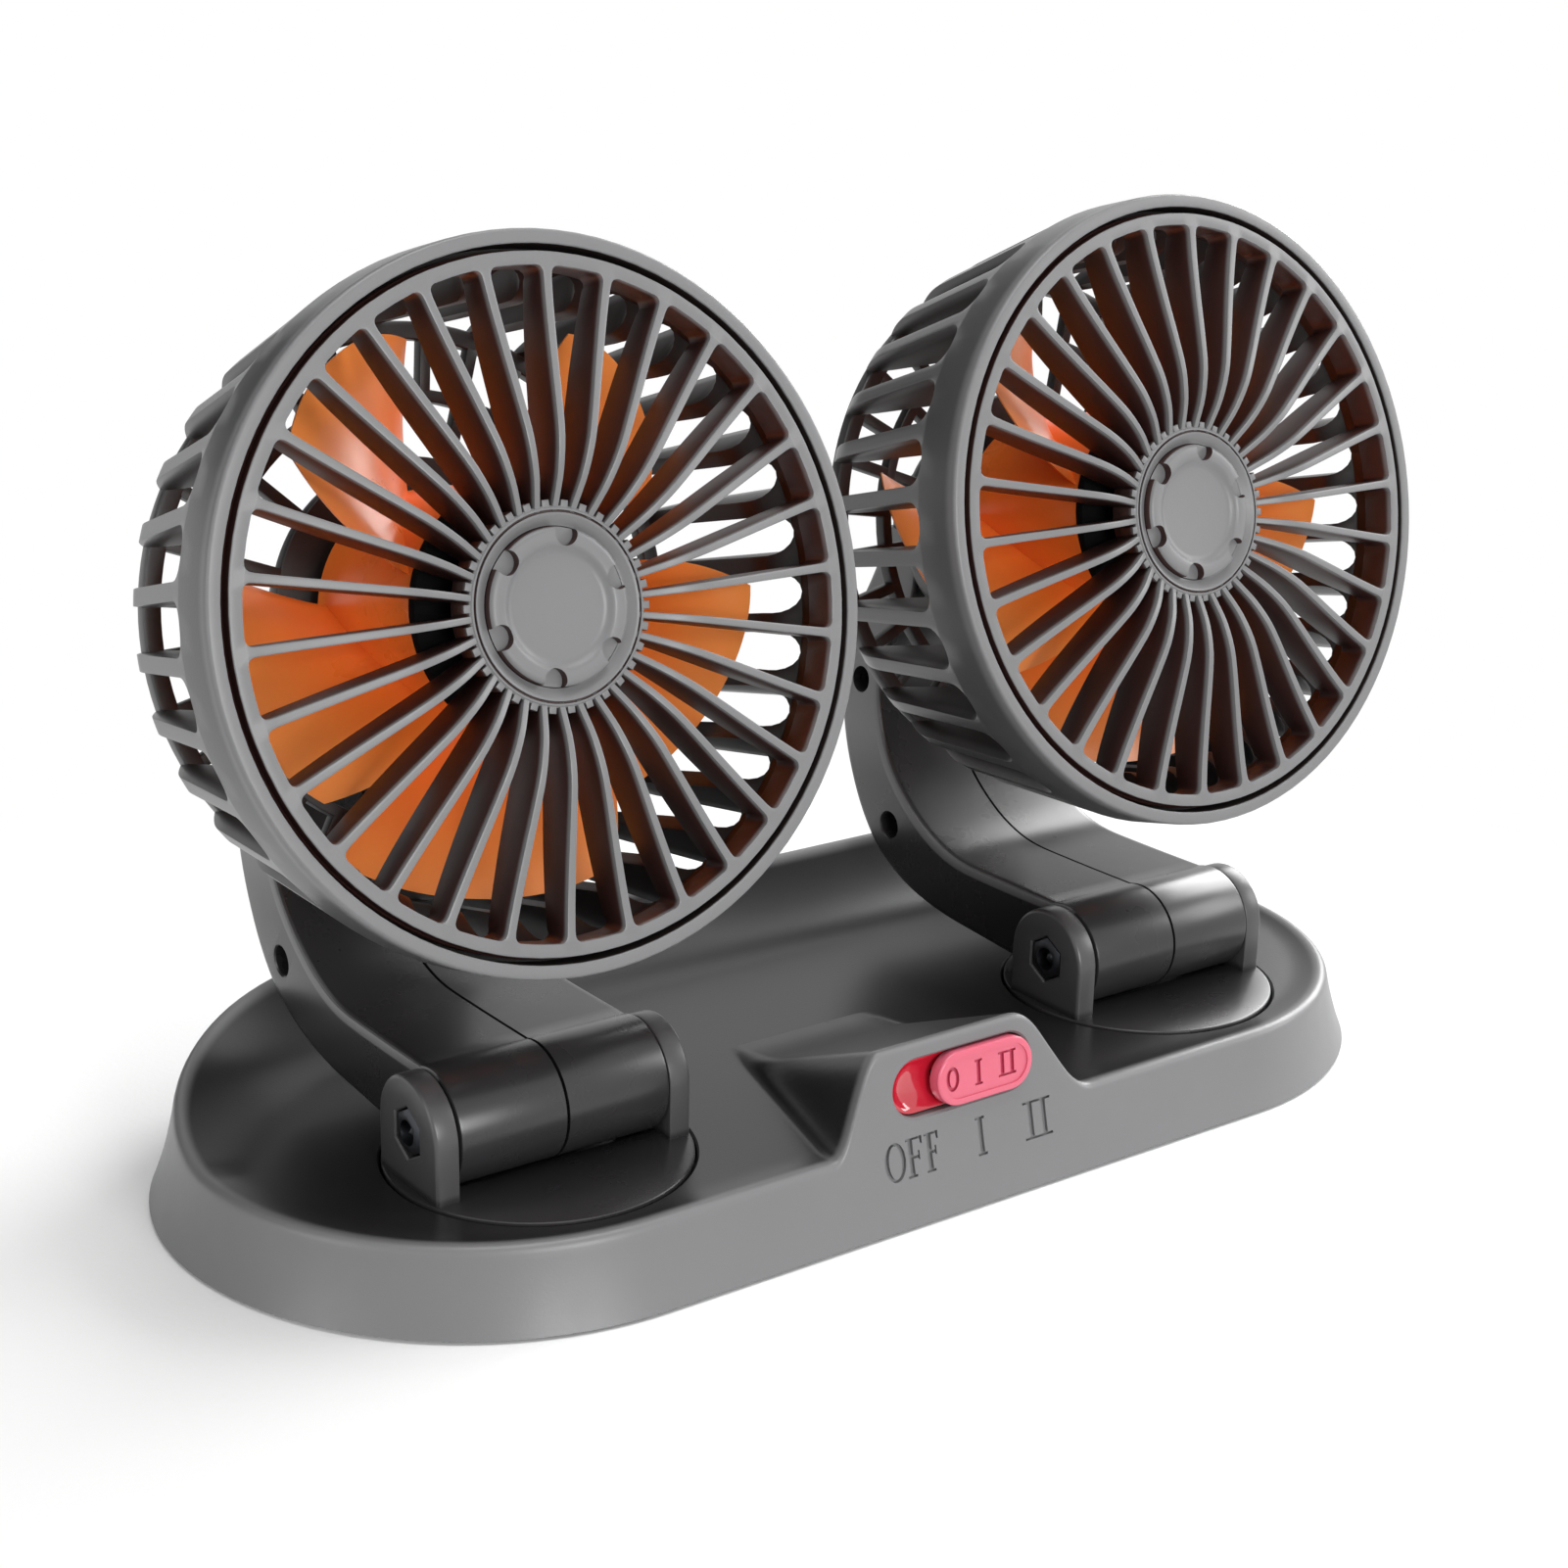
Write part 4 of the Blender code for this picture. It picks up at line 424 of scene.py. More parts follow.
def deck_height(x, y, inwards):
    """The height of the top skin, inwards from the rim by the given distance."""
    cove = COVE_FRONT + (COVE_BACK - COVE_FRONT) * rise(y) ** 0.5
    left = 1.0 - min(1.0, max(0.0, inwards / cove))
    deck = DECK + (RIM + RIM_RISE * rise(y) ** 1.4 - DECK) * left * left
    behind = y + skirt_radius(HUMP_TOP)
    roof = HUMP_TOP - behind * (HUMP_TOP - DECK) / HUMP_FALL
    steep = (HUMP_TOP - RIM) / (HUMP_FOOT - HUMP_HALF_TOPS[x > HUMP_X])
    side = RIM + (HUMP_FOOT - HUMP_TAPER * behind - abs(x - HUMP_X)) * steep
    return smooth_max(deck, -smooth_max(-roof, -side))


def rim_at(middle_x, across):
    """The rim's radius and height in one direction, found by repeating."""
    height = RIM
    for _ in range(8):
        height = deck_height(middle_x, skirt_radius(height) * across, 0.0)
    return skirt_radius(height), height


def shell_profile(middle_x, along, across, depth):
    """One section of the shell's skin, from the skirt's foot over the rim to the middle."""
    radius, height = rim_at(middle_x, across)
    edge = skirt_radius(height - depth) - depth
    ease = RIM_ROUND if depth == 0.0 else 0.4

    def top(distance):
        place = edge - distance
        return deck_height(
            middle_x + place * along, place * across, radius - place) - depth

    ends = height - depth - ease
    levels = [
        SKIRT_LOW + (ends - SKIRT_LOW) * step / SKIRT_STEPS for step in range(SKIRT_STEPS + 1)]
    section = [(skirt_radius(level) - depth, level) for level in levels]
    start, corner = Vector(section[-1]), Vector((edge, height - depth))
    end = Vector((edge - ease, top(ease)))
    section += [rounded(start, corner, end, step / 6) for step in range(1, 6)]
    distances = [ease + 0.9 * step for step in range(8)]
    left = edge - 4.0 - distances[-1]
    distances += [
        distances[-1] + left * step / TOP_STEPS for step in range(1, TOP_STEPS + 1)]
    section += [(edge - distance, top(distance)) for distance in distances]
    return section


def shell_end(middle_x, first):
    turns = [math.pi * step / END_STEPS + first for step in range(1, END_STEPS)]
    return [(middle_x, math.cos(turn), math.sin(turn)) for turn in turns]


def shell_directions():
    """Places round the stadium: the middle of the arc, and the direction outwards.

    They stand closer at the front, where the hump is.
    """
    front = [-HALF_STRAIGHT + 6.0 * step for step in range(6)]
    front += [HUMP_X - 30.0 + 0.8 * step for step in range(76)]
    front += [HALF_STRAIGHT - 6.0 * step for step in range(5, -1, -1)]
    places = [(x, 0.0, -1.0) for x in front]
    places += shell_end(HALF_STRAIGHT, -math.pi / 2)
    places += [(HALF_STRAIGHT * (1 - step / 6), 0.0, 1.0) for step in range(13)]
    return places + shell_end(-HALF_STRAIGHT, math.pi / 2)


def draw_shell(shape):
    directions = shell_directions()
    skins = []
    for depth in (0.0, WALL):
        columns = []
        for middle_x, along, across in directions:
            columns.append([
                shape.verts.new((middle_x + radius * along, radius * across, height))
                for radius, height in shell_profile(middle_x, along, across, depth)])
        skins.append(columns)
        for index, column in enumerate(columns):
            beside = columns[(index + 1) % len(columns)]
            for level in range(len(column) - 1):
                shape.faces.new((column[level], beside[level], beside[level + 1], column[level + 1]))
        shape.faces.new([column[-1] for column in columns])
    strip(shape, *[[column[0] for column in skin] for skin in skins], closed=True)


def mark_between(loops, *ends):
    """A mark's cutter: outline and holes, drawn out between two functions of each point."""
    triangles = tessellate_polygon(loops)
    points = [point for loop in loops for point in loop]

    def build(shape):
        sheets = [[shape.verts.new(end(point)) for point in points] for end in ends]
        for sheet in sheets:
            for triangle in triangles:
                shape.faces.new([sheet[corner] for corner in triangle])
        first = 0
        for loop in loops:
            last = first + len(loop)
            strip(shape, *[sheet[first:last] for sheet in sheets], closed=True)
            first = last

    return mesh_of(build)


def mark(*loops):
    """A mark's cutter in the skirt, from outlines in X and Z, even in depth."""
    return mark_between(
        [[Vector((x, 0.0, z)) for x, z in loop] for loop in loops],
        lambda p: (p.x, -2.0 - skirt_radius(p.z), p.z),
        lambda p: (p.x, MARK_DEPTH - skirt_radius(p.z), p.z))


def oval(x, z, half_x, half_z, steps=28):
    turns = [2 * math.pi * step / steps for step in range(steps)]
    return [(x + half_x * math.cos(turn), z + half_z * math.sin(turn)) for turn in turns]


def letter_f(x, z, tall, arm):
    """A narrow F with serifs, its stem's left edge at x and its foot at z."""
    s, t = 0.95, 0.42
    high, middle = z + tall, z + 0.52 * tall
    return [
        (x - 0.45, z), (x + s + 0.45, z), (x + s + 0.45, z + t), (x + s, z + t),
        (x + s, middle - t), (x + 0.72 * arm, middle - t), (x + 0.72 * arm, middle - 0.75),
        (x + 0.72 * arm + 0.3, middle - 0.75), (x + 0.72 * arm + 0.3, middle + 0.75),
        (x + 0.72 * arm, middle + 0.75), (x + 0.72 * arm, middle + 0.1), (x + s, middle + 0.1),
        (x + s, high - 0.42), (x + arm - 0.3, high - 0.42), (x + arm - 0.1, high - 1.35),
        (x + arm + 0.2, high - 1.35), (x + arm + 0.2, high), (x - 0.45, high),
        (x - 0.45, high - t), (x, high - t), (x, z + t), (x - 0.45, z + t)]


def numeral(stems, z, tall, reach=0.5, wide=0.95, bar=0.45):
    """One or two upright strokes between two bars."""
    low_x, high_x = stems[0] - wide / 2 - reach, stems[-1] + wide / 2 + reach
    high = z + tall
    outline = [(low_x, z), (high_x, z), (high_x, z + bar), (stems[-1] + wide / 2, z + bar),
               (stems[-1] + wide / 2, high - bar), (high_x, high - bar), (high_x, high),
               (low_x, high), (low_x, high - bar), (stems[0] - wide / 2, high - bar),
               (stems[0] - wide / 2, z + bar), (low_x, z + bar)]
    holes = []
    if len(stems) > 1:
        left, right = stems[0] + wide / 2, stems[-1] - wide / 2
        holes.append([(left, z + bar), (left, high - bar), (right, high - bar), (right, z + bar)])
    return outline, *holes


SLOT_Z, SLOT_HALF_LENGTH, SLOT_HALF_HEIGHT = 21.92, 14.465, 4.895
# The switch's frame: X along the slot, Y up the front face, Z straight out of it.
SLOT_FRAME = placed(
    HUMP_X, -skirt_radius(SLOT_Z), SLOT_Z, math.pi / 2 - skirt_lean(SLOT_Z))
MARK_DEPTH, MARK_FOOT, MARK_TALL = 0.6, 7.75, 6.4
SEAT_FLOOR, SEAT_RADIUS, PIVOT_HOLE = 10.0, 25.3, 6.3
INLET_Z, INLET_RADIUS = 9.2, 3.7

shell = mesh_of(draw_shell)
seats, holes = [], []
for side in (-1, 1):
    place = placed(side * UNIT_X, SWIVEL_Y, 0.0)
    seats.append(cylinder(27.1, SEAT_FLOOR - 2.0, DECK - 1.1, 64, place))
    holes.append(lathe(
        [(0.0, -1.0), (PIVOT_HOLE, -1.0), (PIVOT_HOLE, SEAT_FLOOR), (SEAT_RADIUS, SEAT_FLOOR),
         (SEAT_RADIUS, DECK - 0.35), (SEAT_RADIUS + 4.4, DECK + 4.05), (0.0, DECK + 4.05)],
        96, place=place))
for x, y in BASE_SCREWS:
    seats.append(rod(3.2, (x, y, 3.8), (x, y, DECK - 1.1), 20))
    holes.append(rod(PILOT, (x, y, 0.0), (x, y, DECK - 3.1), 16))
slot_outline = stadium(SLOT_HALF_LENGTH - SLOT_HALF_HEIGHT, SLOT_HALF_HEIGHT, 18)
slot_cutter = stacked(  # It opens out a little at the front face.
    slot_outline, ((0.0, -4.4), (0.0, -0.3), (-0.45, 0.15), (-0.45, 4.0)), SLOT_FRAME)
inlet = cylinder(INLET_RADIUS, 44.0, 60.0, 32, placed(0.0, 0.0, INLET_Z, -math.pi / 2))
marks = [
    mark(*[oval(-17.65, MARK_FOOT + MARK_TALL / 2, half_x, half_z) for half_x, half_z in (
        (2.15, MARK_TALL / 2), (1.3, MARK_TALL / 2 - 0.5))]),
    mark(letter_f(-14.85, MARK_FOOT, MARK_TALL, 2.7)),
    mark(letter_f(-11.0, MARK_FOOT, MARK_TALL, 2.2)),
    mark(*numeral((0.4,), MARK_FOOT, MARK_TALL)),
    mark(*numeral((11.3, 14.2), MARK_FOOT, MARK_TALL, 1.1)),
]
shell = joined(shell, *seats)
shell = carved(shell, *holes)
shell = carved(shell, slot_cutter, inlet, merged(marks))

satin_abs = moulded(  # Satin grey ABS: even mid grey, broad soft highlights.
    "grey_abs_satin", "#717172", "#69696A", (0.36, 0.44), 0.45, 0.012)
polished_shade_abs = moulded(  # The same ABS off a polished mould, with clearer reflections; its much darker tone on the deck is painted shade.
    "grey_abs_polished_painted_shade", "#232223", "#1F1E1F", (0.26, 0.33), 0.6, 0.004)


def faded(name, outer, inner, attribute, start, end):
    """The outer material passing into the inner one where an attribute goes from start to end, for
    another finish, for painted shade and for painted light.
    """
    material = outer.copy()
    material.name = name
    tree = material.node_tree
    shader = tree.nodes["Principled BSDF"]
    depth = add_node(tree, "ShaderNodeAttribute", attribute_name=attribute).outputs["Fac"]
    share = add_node(tree, "ShaderNodeMapRange", {
        "Value": depth, "From Min": start, "From Max": end},
        interpolation_type="SMOOTHSTEP").outputs["Result"]
    inside = inner.node_tree.nodes["Principled BSDF"]
    tone, wear = (inside.inputs[socket].links[0].from_node for socket in (
        "Base Color", "Roughness"))
    clouds = shader.inputs["Base Color"].links[0].from_node.inputs["Factor"].links[0].from_socket
    inner_tone = add_node(tree, "ShaderNodeMix", {
        "Factor": clouds, 6: tone.inputs[6].default_value, 7: tone.inputs[7].default_value},
        data_type="RGBA").outputs[2]
    inner_wear = sum(wear.inputs[key].default_value for key in ("To Min", "To Max")) / 2
    for socket, kind, result, first, value in (
            ("Base Color", "RGBA", 2, 6, inner_tone), ("Roughness", "FLOAT", 0, 2, inner_wear)):
        outer_value = shader.inputs[socket].links[0].from_socket
        mix = add_node(tree, "ShaderNodeMix", {
            "Factor": share, first: outer_value, first + 1: value}, data_type=kind)
        tree.links.new(mix.outputs[result], shader.inputs[socket])
    return material


measured(shell, "from_rim", lambda x, y, z: (
    skirt_radius(z) - math.hypot(max(0.0, abs(x) - HALF_STRAIGHT), y)))
# Painted shade: from just inside the rim, the deck takes the darker polished tone.
base_abs = faded("grey_abs_satin_to_painted_shade", satin_abs, polished_shade_abs, "from_rim", 1.2, 3.1)
show("base_upper_shell", shell, base_abs, "base", "grey_plastic", "base_shell")


# Slide switch.
# A deep red glossy insert fills the slot behind the thumb piece. The thumb piece is a pink
# ABS pill with a raised rim and three engraved marks, and its stem runs in the casing behind.

THUMB_MIDDLE, THUMB_HALF_LENGTH, THUMB_HALF_HEIGHT, THUMB_PROUD = 4.0, 10.165, 4.595, 1.2
THUMB_MARK_FLOOR = 0.45
STEM_HALF_LENGTH, STEM_HALF_HEIGHT, STEM_TRAVEL = 0.8, 1.2, 4.3
bezel = stacked(  # Its front face is hollowed like a shallow boat.
    stadium(SLOT_HALF_LENGTH - SLOT_HALF_HEIGHT, SLOT_HALF_HEIGHT - 0.3, 18),
    ((0.0, -3.1), (0.0, -1.4), (0.35, -1.45), (0.8, -1.75), (1.4, -2.1), (2.2, -2.35),
     (3.2, -2.45)))
bezel_reach = SLOT_HALF_LENGTH + 1.2
flange = plate(oblong(-bezel_reach, -6.095, bezel_reach, 0.0), -3.7, -2.7, 0.15, 0.15)
stem_reach = STEM_HALF_LENGTH + STEM_TRAVEL
stem_way = plate(oblong(-stem_reach, -1.5, stem_reach, 1.5), -12.0, 12.0)
bezel = carved(joined(bezel, flange), stem_way)
bezel.transform(SLOT_FRAME)

thumb_outline = stadium(THUMB_HALF_LENGTH - THUMB_HALF_HEIGHT, THUMB_HALF_HEIGHT, 18)
thumb = plate(thumb_outline, -1.1, THUMB_PROUD, 0.1, 0.45, steps=4)
well = plate(inset(thumb_outline, 1.15), THUMB_PROUD - 0.28, 4.0)
thumb = carved(thumb, well)
thumb.transform(placed(THUMB_MIDDLE, 0.0, 0.0))


def flat_mark(*loops):
    """A mark's cutter on the flat thumb piece."""
    return mark_between(
        [[Vector((x, y, 0.0)) for x, y in loop] for loop in loops],
        lambda p: (p.x, p.y, THUMB_MARK_FLOOR), lambda p: (p.x, p.y, 2.0))


def measured_corners(mesh, name, value):
    """Gives each face's corners a number, which a function works out from face and place."""
    numbers = mesh.attributes.new(name, "FLOAT", "CORNER").data
    for face in mesh.polygons:
        for corner in face.loop_indices:
            place = mesh.vertices[mesh.loops[corner].vertex_index].co
            numbers[corner].value = value(face, *place)


thumb_marks = [
    flat_mark(oval(-2.9, 0.1, 1.35, 2.1, 24), oval(-2.9, 0.1, 0.65, 1.45, 24)),
    flat_mark(*numeral((2.6,), -2.1, 4.4, 0.4, 0.8, 0.4)),
    flat_mark(*numeral((7.7, 9.8), -1.9, 4.3, 0.45, 0.8, 0.4)),
]
thumb = carved(thumb, merged(thumb_marks))
measured_corners(thumb, "in_mark", lambda face, *place: (
    0.4 < face.center.z < 0.85 and abs(face.center.x) < 11.0 and abs(face.center.y) < 3.0))
stem = plate(
    oblong(THUMB_MIDDLE - STEM_HALF_LENGTH, -STEM_HALF_HEIGHT,
           THUMB_MIDDLE + STEM_HALF_LENGTH, STEM_HALF_HEIGHT), -6.3, 0.3, 0.2, 0.0)
thumb = joined(thumb, stem)
thumb.transform(SLOT_FRAME)

red_gloss = moulded(  # Clear-coated red ABS: deep, wet-looking, picks up the lamps.
    "red_abs_polished", "#C41F33", "#B0182A", (0.06, 0.1), 3.0, 0.01, Coat_Weight=1.0,
    Coat_Roughness=0.05)
pink_gloss = moulded(  # Pink ABS: a milky bright pink with a soft gloss.
    "pink_abs_glossy", "#CE6074", "#C85B70", (0.18, 0.25), 0.8, 0.008,
    Subsurface_Weight=0.15, Subsurface_Scale=0.002)
mark_pink_shade = moulded(  # Painted shade: the same pink painted deeper and redder down in the engraved marks.
    "pink_abs_painted_shade_in_marks", "#B8405A", "#AC3852", (0.3, 0.4), 0.8, 0.008)
thumb_abs = faded("pink_abs_thumb", pink_gloss, mark_pink_shade, "in_mark", 0.2, 0.8)
show("switch_insert", bezel, red_gloss, "base", "red_plastic", "switch_bezel")
show("switch_thumb", thumb, thumb_abs, "switch_slider", "pink_plastic", "switch_slider")


# Cable inlet.
# A black rubber bush snaps into the hole in the back of the skirt: a short tube with a
# rounded flange on each side of the wall. The lead itself isn't fitted here.

bush_profile = eased([
    (1.9, 2.3), (4.8, 2.3), (4.8, 1.7), (3.4, 1.7), (3.4, -1.7), (4.8, -1.7), (4.8, -2.3),
    (1.9, -2.3)], 0.35, keep=(2, 3, 4, 5))
bush_place = placed(
    0.0, skirt_radius(INLET_Z) - WALL / 2, INLET_Z, skirt_lean(INLET_Z) - math.pi / 2)
bush_rubber = moulded(  # Solid black rubber: matt with a faint bloom.
    "black_rubber_moulded", "#181818", "#222222", (0.6, 0.72), 0.5, 0.02)
show("inlet_bush", lathe(bush_profile, 40, closed=True, place=bush_place), bush_rubber,
     "base", "black_rubber", "cable_grommet")


# Swivelling discs.
# Each fan stands on a disc that turns in the deck's seat. The disc, its pivot and the two
# hinge ears are one ABS moulding, with a six-sided pocket for the nut in the left ear. A
# steel washer and a screw under the deck keep the pivot in its hole.

HINGE_Y, HINGE_Z = -19.635, 22.275
EAR_OUTER, EAR_THICK, EAR_HALF_DEPTH = 23.25, 4.0, 9.24
DISC_RADIUS, DISC_LOW, DISC_TOP = 25.0, 10.3, 13.42
ARM_HALF_WIDTH, BARREL_RADIUS = 18.95, 9.625
BOLT_BORE = 2.3
SIDEWAYS = Matrix(((0, 0, 1, 0), (1, 0, 0, 0), (0, 1, 0, 0), (0, 0, 0, 1)))


def hoop(inner, outer, first, last, ease, steps, place=None):
    """A flat ring between two radii and two heights, with eased edges."""
    section = [(inner, first), (outer, first), (outer, last), (inner, last)]
    return lathe(eased(section, ease), steps, closed=True, place=place)


def show_twice(name, mesh, material, body, slot, *nodes, crease=32.0):
    """Puts the same piece into both fan units, whose middles are UNIT_X from the origin."""
    for label, side in (("left_", -1), ("right_", 1)):
        copy = mesh.copy()
        copy.transform(placed(side * UNIT_X, 0.0, 0.0))
        show(label + name, copy, material, label + body, slot,
             *[label + node for node in nodes], crease=crease)


disc = lathe(
    eased([(0.0, DISC_LOW), (DISC_RADIUS - 0.1, DISC_LOW), (DISC_RADIUS, DISC_TOP),
           (0.0, DISC_TOP)], 0.45, closed=False), 96, place=placed(0.0, SWIVEL_Y, 0.0))
pivot = rod(6.0, (0, SWIVEL_Y, 7.9), (0, SWIVEL_Y, 12.0), 40)
trough_end = ARM_HALF_WIDTH + 0.3
trough = rod(BARREL_RADIUS + 0.4, (-trough_end, HINGE_Y, HINGE_Z),
             (trough_end, HINGE_Y, HINGE_Z), 80)
ear_foot = DISC_TOP - 0.5
ear_outline = [(HINGE_Y - EAR_HALF_DEPTH, ear_foot), (HINGE_Y + EAR_HALF_DEPTH, ear_foot)]
for step in range(25):
    turn = math.pi * step / 24
    ear_outline.append((
        HINGE_Y + EAR_HALF_DEPTH * math.cos(turn), HINGE_Z + EAR_HALF_DEPTH * math.sin(turn)))
ear_inner = EAR_OUTER - EAR_THICK
turntable = joined(
    carved(joined(disc, pivot), trough),
    plate(ear_outline, -EAR_OUTER, -ear_inner, 0.7, 0.2, SIDEWAYS),
    plate(ear_outline, ear_inner, EAR_OUTER, 0.2, 0.7, SIDEWAYS))
on_hinge = placed(0.0, HINGE_Y, HINGE_Z, math.pi / 2, "Y")
bore = cylinder(BOLT_BORE, -30.0, 30.0, 24, on_hinge)
pocket = lathe(
    [(0.0, -30.0), (4.75, -30.0), (4.75, -23.25), (4.45, -22.95), (4.45, -20.65),
     (0.0, -20.65)], 6, place=on_hinge)
sink = lathe(
    [(0.0, 20.95), (3.8, 20.95), (3.8, 23.0), (4.3, 23.5), (4.3, 30.0), (0.0, 30.0)], 32,
    place=on_hinge)
pilot = rod(PILOT, (0, SWIVEL_Y, 0), (0, SWIVEL_Y, 11.5), 16)
turntable = carved(turntable, bore, pocket, sink, pilot)

hinge_shade_abs = moulded(  # Polished grey ABS with long clear reflections; its dark tone on the disc, the arm's top and the barrel is painted shade.
    "grey_abs_hinge_painted_shade", "#302F30", "#2A292A", (0.25, 0.32), 0.9, 0.002)
ear_lit_abs = moulded(  # The ears' less polished flanks: a lighter dark grey, painted light beside the disc's painted shade.
    "grey_abs_ears_painted_light", "#4C4B4C", "#454445", (0.3, 0.38), 0.6, 0.008)
measured(turntable, "above_disc", lambda x, y, z: z - DISC_TOP)
turntable_abs = faded("grey_abs_turntable", hinge_shade_abs, ear_lit_abs, "above_disc", 0.3, 1.5)
show_twice("swivel_disc", turntable, turntable_abs, "turntable", "grey_plastic", "turntable")

washer = hoop(PILOT, 9.5, 7.6, 6.1, 0.2, 48, placed(0.0, SWIVEL_Y, 0.0))
show_twice("pivot_washer", washer, zinc_steel, "turntable", "steel", "swivel_retainer")
upwards = placed(0.0, SWIVEL_Y, 4.5, math.pi)
show_twice("pivot_screw", small_screw(6.2, upwards), zinc_steel, "turntable", "steel",
           "swivel_screw")


# Hinge bolts and nuts.
# A black-oxide bolt runs through both ears and the arm's barrel. Its round head is sunk in
# the right ear and has a cross recess, and a six-sided nut sits in the left ear's pocket.

bolt_place = placed(EAR_OUTER - 0.2, HINGE_Y, HINGE_Z, math.pi / 2, "Y")
bolt = screw(3.5, 1.8, 2.0, 46.0, 1.0, bolt_place)
nut = carved(
    lathe([(0.0, -23.25), (3.1, -23.25), (4.0, -22.85), (4.0, -20.95), (0.0, -20.95)], 6),
    lathe([(0.0, -30.0), (2.6, -30.0), (2.1, -22.9), (2.1, -10.0), (0.0, -10.0)], 24))
nut.transform(on_hinge)
black_oxide = moulded(  # Black-oxide steel: oily blue-black with a dull metal glint.
    "steel_black_oxide", "#47484C", "#54565B", (0.35, 0.5), 0.6, 0.01, 4.0, Metallic=1.0)
show_twice("hinge_bolt_black", bolt, black_oxide, "turntable", "steel", "hinge_bolt")
show_twice("hinge_nut_black", nut, black_oxide, "turntable", "steel", "hinge_nut")


# Arms.
# Each arm is a hollow elbow of two ABS halves that meet in a fine seam over its middle, held
# together by two screws in deep holes on the left. Its barrel turns on the hinge bolt, and
# its round pad carries the fan head.

HEAD_Y, HEAD_Z = -27.2745, 104.13
HEAD_PLACE = placed(0.0, HEAD_Y, HEAD_Z, math.radians(90.0 - 13.49))
PAD_FRONT, PAD_BACK, PAD_RADIUS = 60.8, 69.6, 14.025
ARM_ROUND, ARM_WALL, SEAM_HALF_GAP, PAST_SEAM = 1.5, 1.8, 0.28, 4.0
LIGHT_EDGE, LIGHT_EDGE_END = 1.7, 2.3
FLANK_LIGHT_FROM, FLANK_LIGHT_FADE = 36.0, 16.0
ARM_SCREWS = (("lower", 32.23, 32.18), ("upper", 43.18, 59.4))
HEAD_SCREW_X = 7.6
# Along the arm: the front or top edge in Y and Z, the rear or under edge, the width's share.
ARM_STATIONS = (
    (-19.8, 31.46, -16.5, 16.5, 1.0), (0.0, 31.13, 2.75, 17.71, 1.0),
    (11.0, 31.35, 15.4, 18.7, 1.0), (18.54, 33.39, 24.75, 20.63, 1.0),
    (24.75, 36.85, 31.9, 23.65, 1.0), (29.7, 40.98, 37.95, 28.05, 1.0),
    (33.55, 45.93, 43.45, 35.75, 1.0), (36.3, 52.8, 47.58, 46.2, 1.0),
    (37.68, 59.95, 49.23, 56.65, 0.98), (36.3, 68.75, 48.13, 69.85, 0.92),
    (31.9, 77.0, 43.73, 81.4, 0.84), (31.85, 89.93, 41.36, 90.2, 0.78))


def curve_through(points, steps):
    """A smooth curve through points, each given as a tuple of numbers."""
    count = len(points)
    smooth = []
    for index in range(count - 1):
        around = [points[min(max(index + shift, 0), count - 1)] for shift in (-1, 0, 1, 2)]
        for step in range(steps):
            t = step / steps
            weights = (
                (-t + 2 * t * t - t ** 3) / 2, (2 - 5 * t * t + 3 * t ** 3) / 2,
                (t + 4 * t * t - 3 * t ** 3) / 2, (-t * t + t ** 3) / 2)
            smooth.append(tuple(
                sum(weight * value for weight, value in zip(weights, values))
                for values in zip(*around)))
    return [*smooth, points[-1]]


def draw_elbow(shape):
    rings = []
    for top_y, top_z, under_y, under_z, share in curve_through(ARM_STATIONS, 5):
        top, under = Vector((0.0, top_y, top_z)), Vector((0.0, under_y, under_z))
        thick = (under - top).length
        down = (under - top) / thick
        wide = ARM_HALF_WIDTH * share
        outer = eased(
            [(-PAST_SEAM, 0.0), (wide, 0.0), (wide, LIGHT_EDGE), (wide, LIGHT_EDGE_END),
             (wide, thick), (-PAST_SEAM, thick)], ARM_ROUND, steps=4, keep=(0, 2, 3, 5))
        inner = [(-PAST_SEAM, thick - ARM_WALL), (wide - ARM_WALL, thick - ARM_WALL),
                 (wide - ARM_WALL, ARM_WALL), (-PAST_SEAM, ARM_WALL)]
        rings.append([
            shape.verts.new(Vector((across, 0.0, 0.0)) + top + down * depth)
            for across, depth in outer + inner])
    skinned(shape, rings)


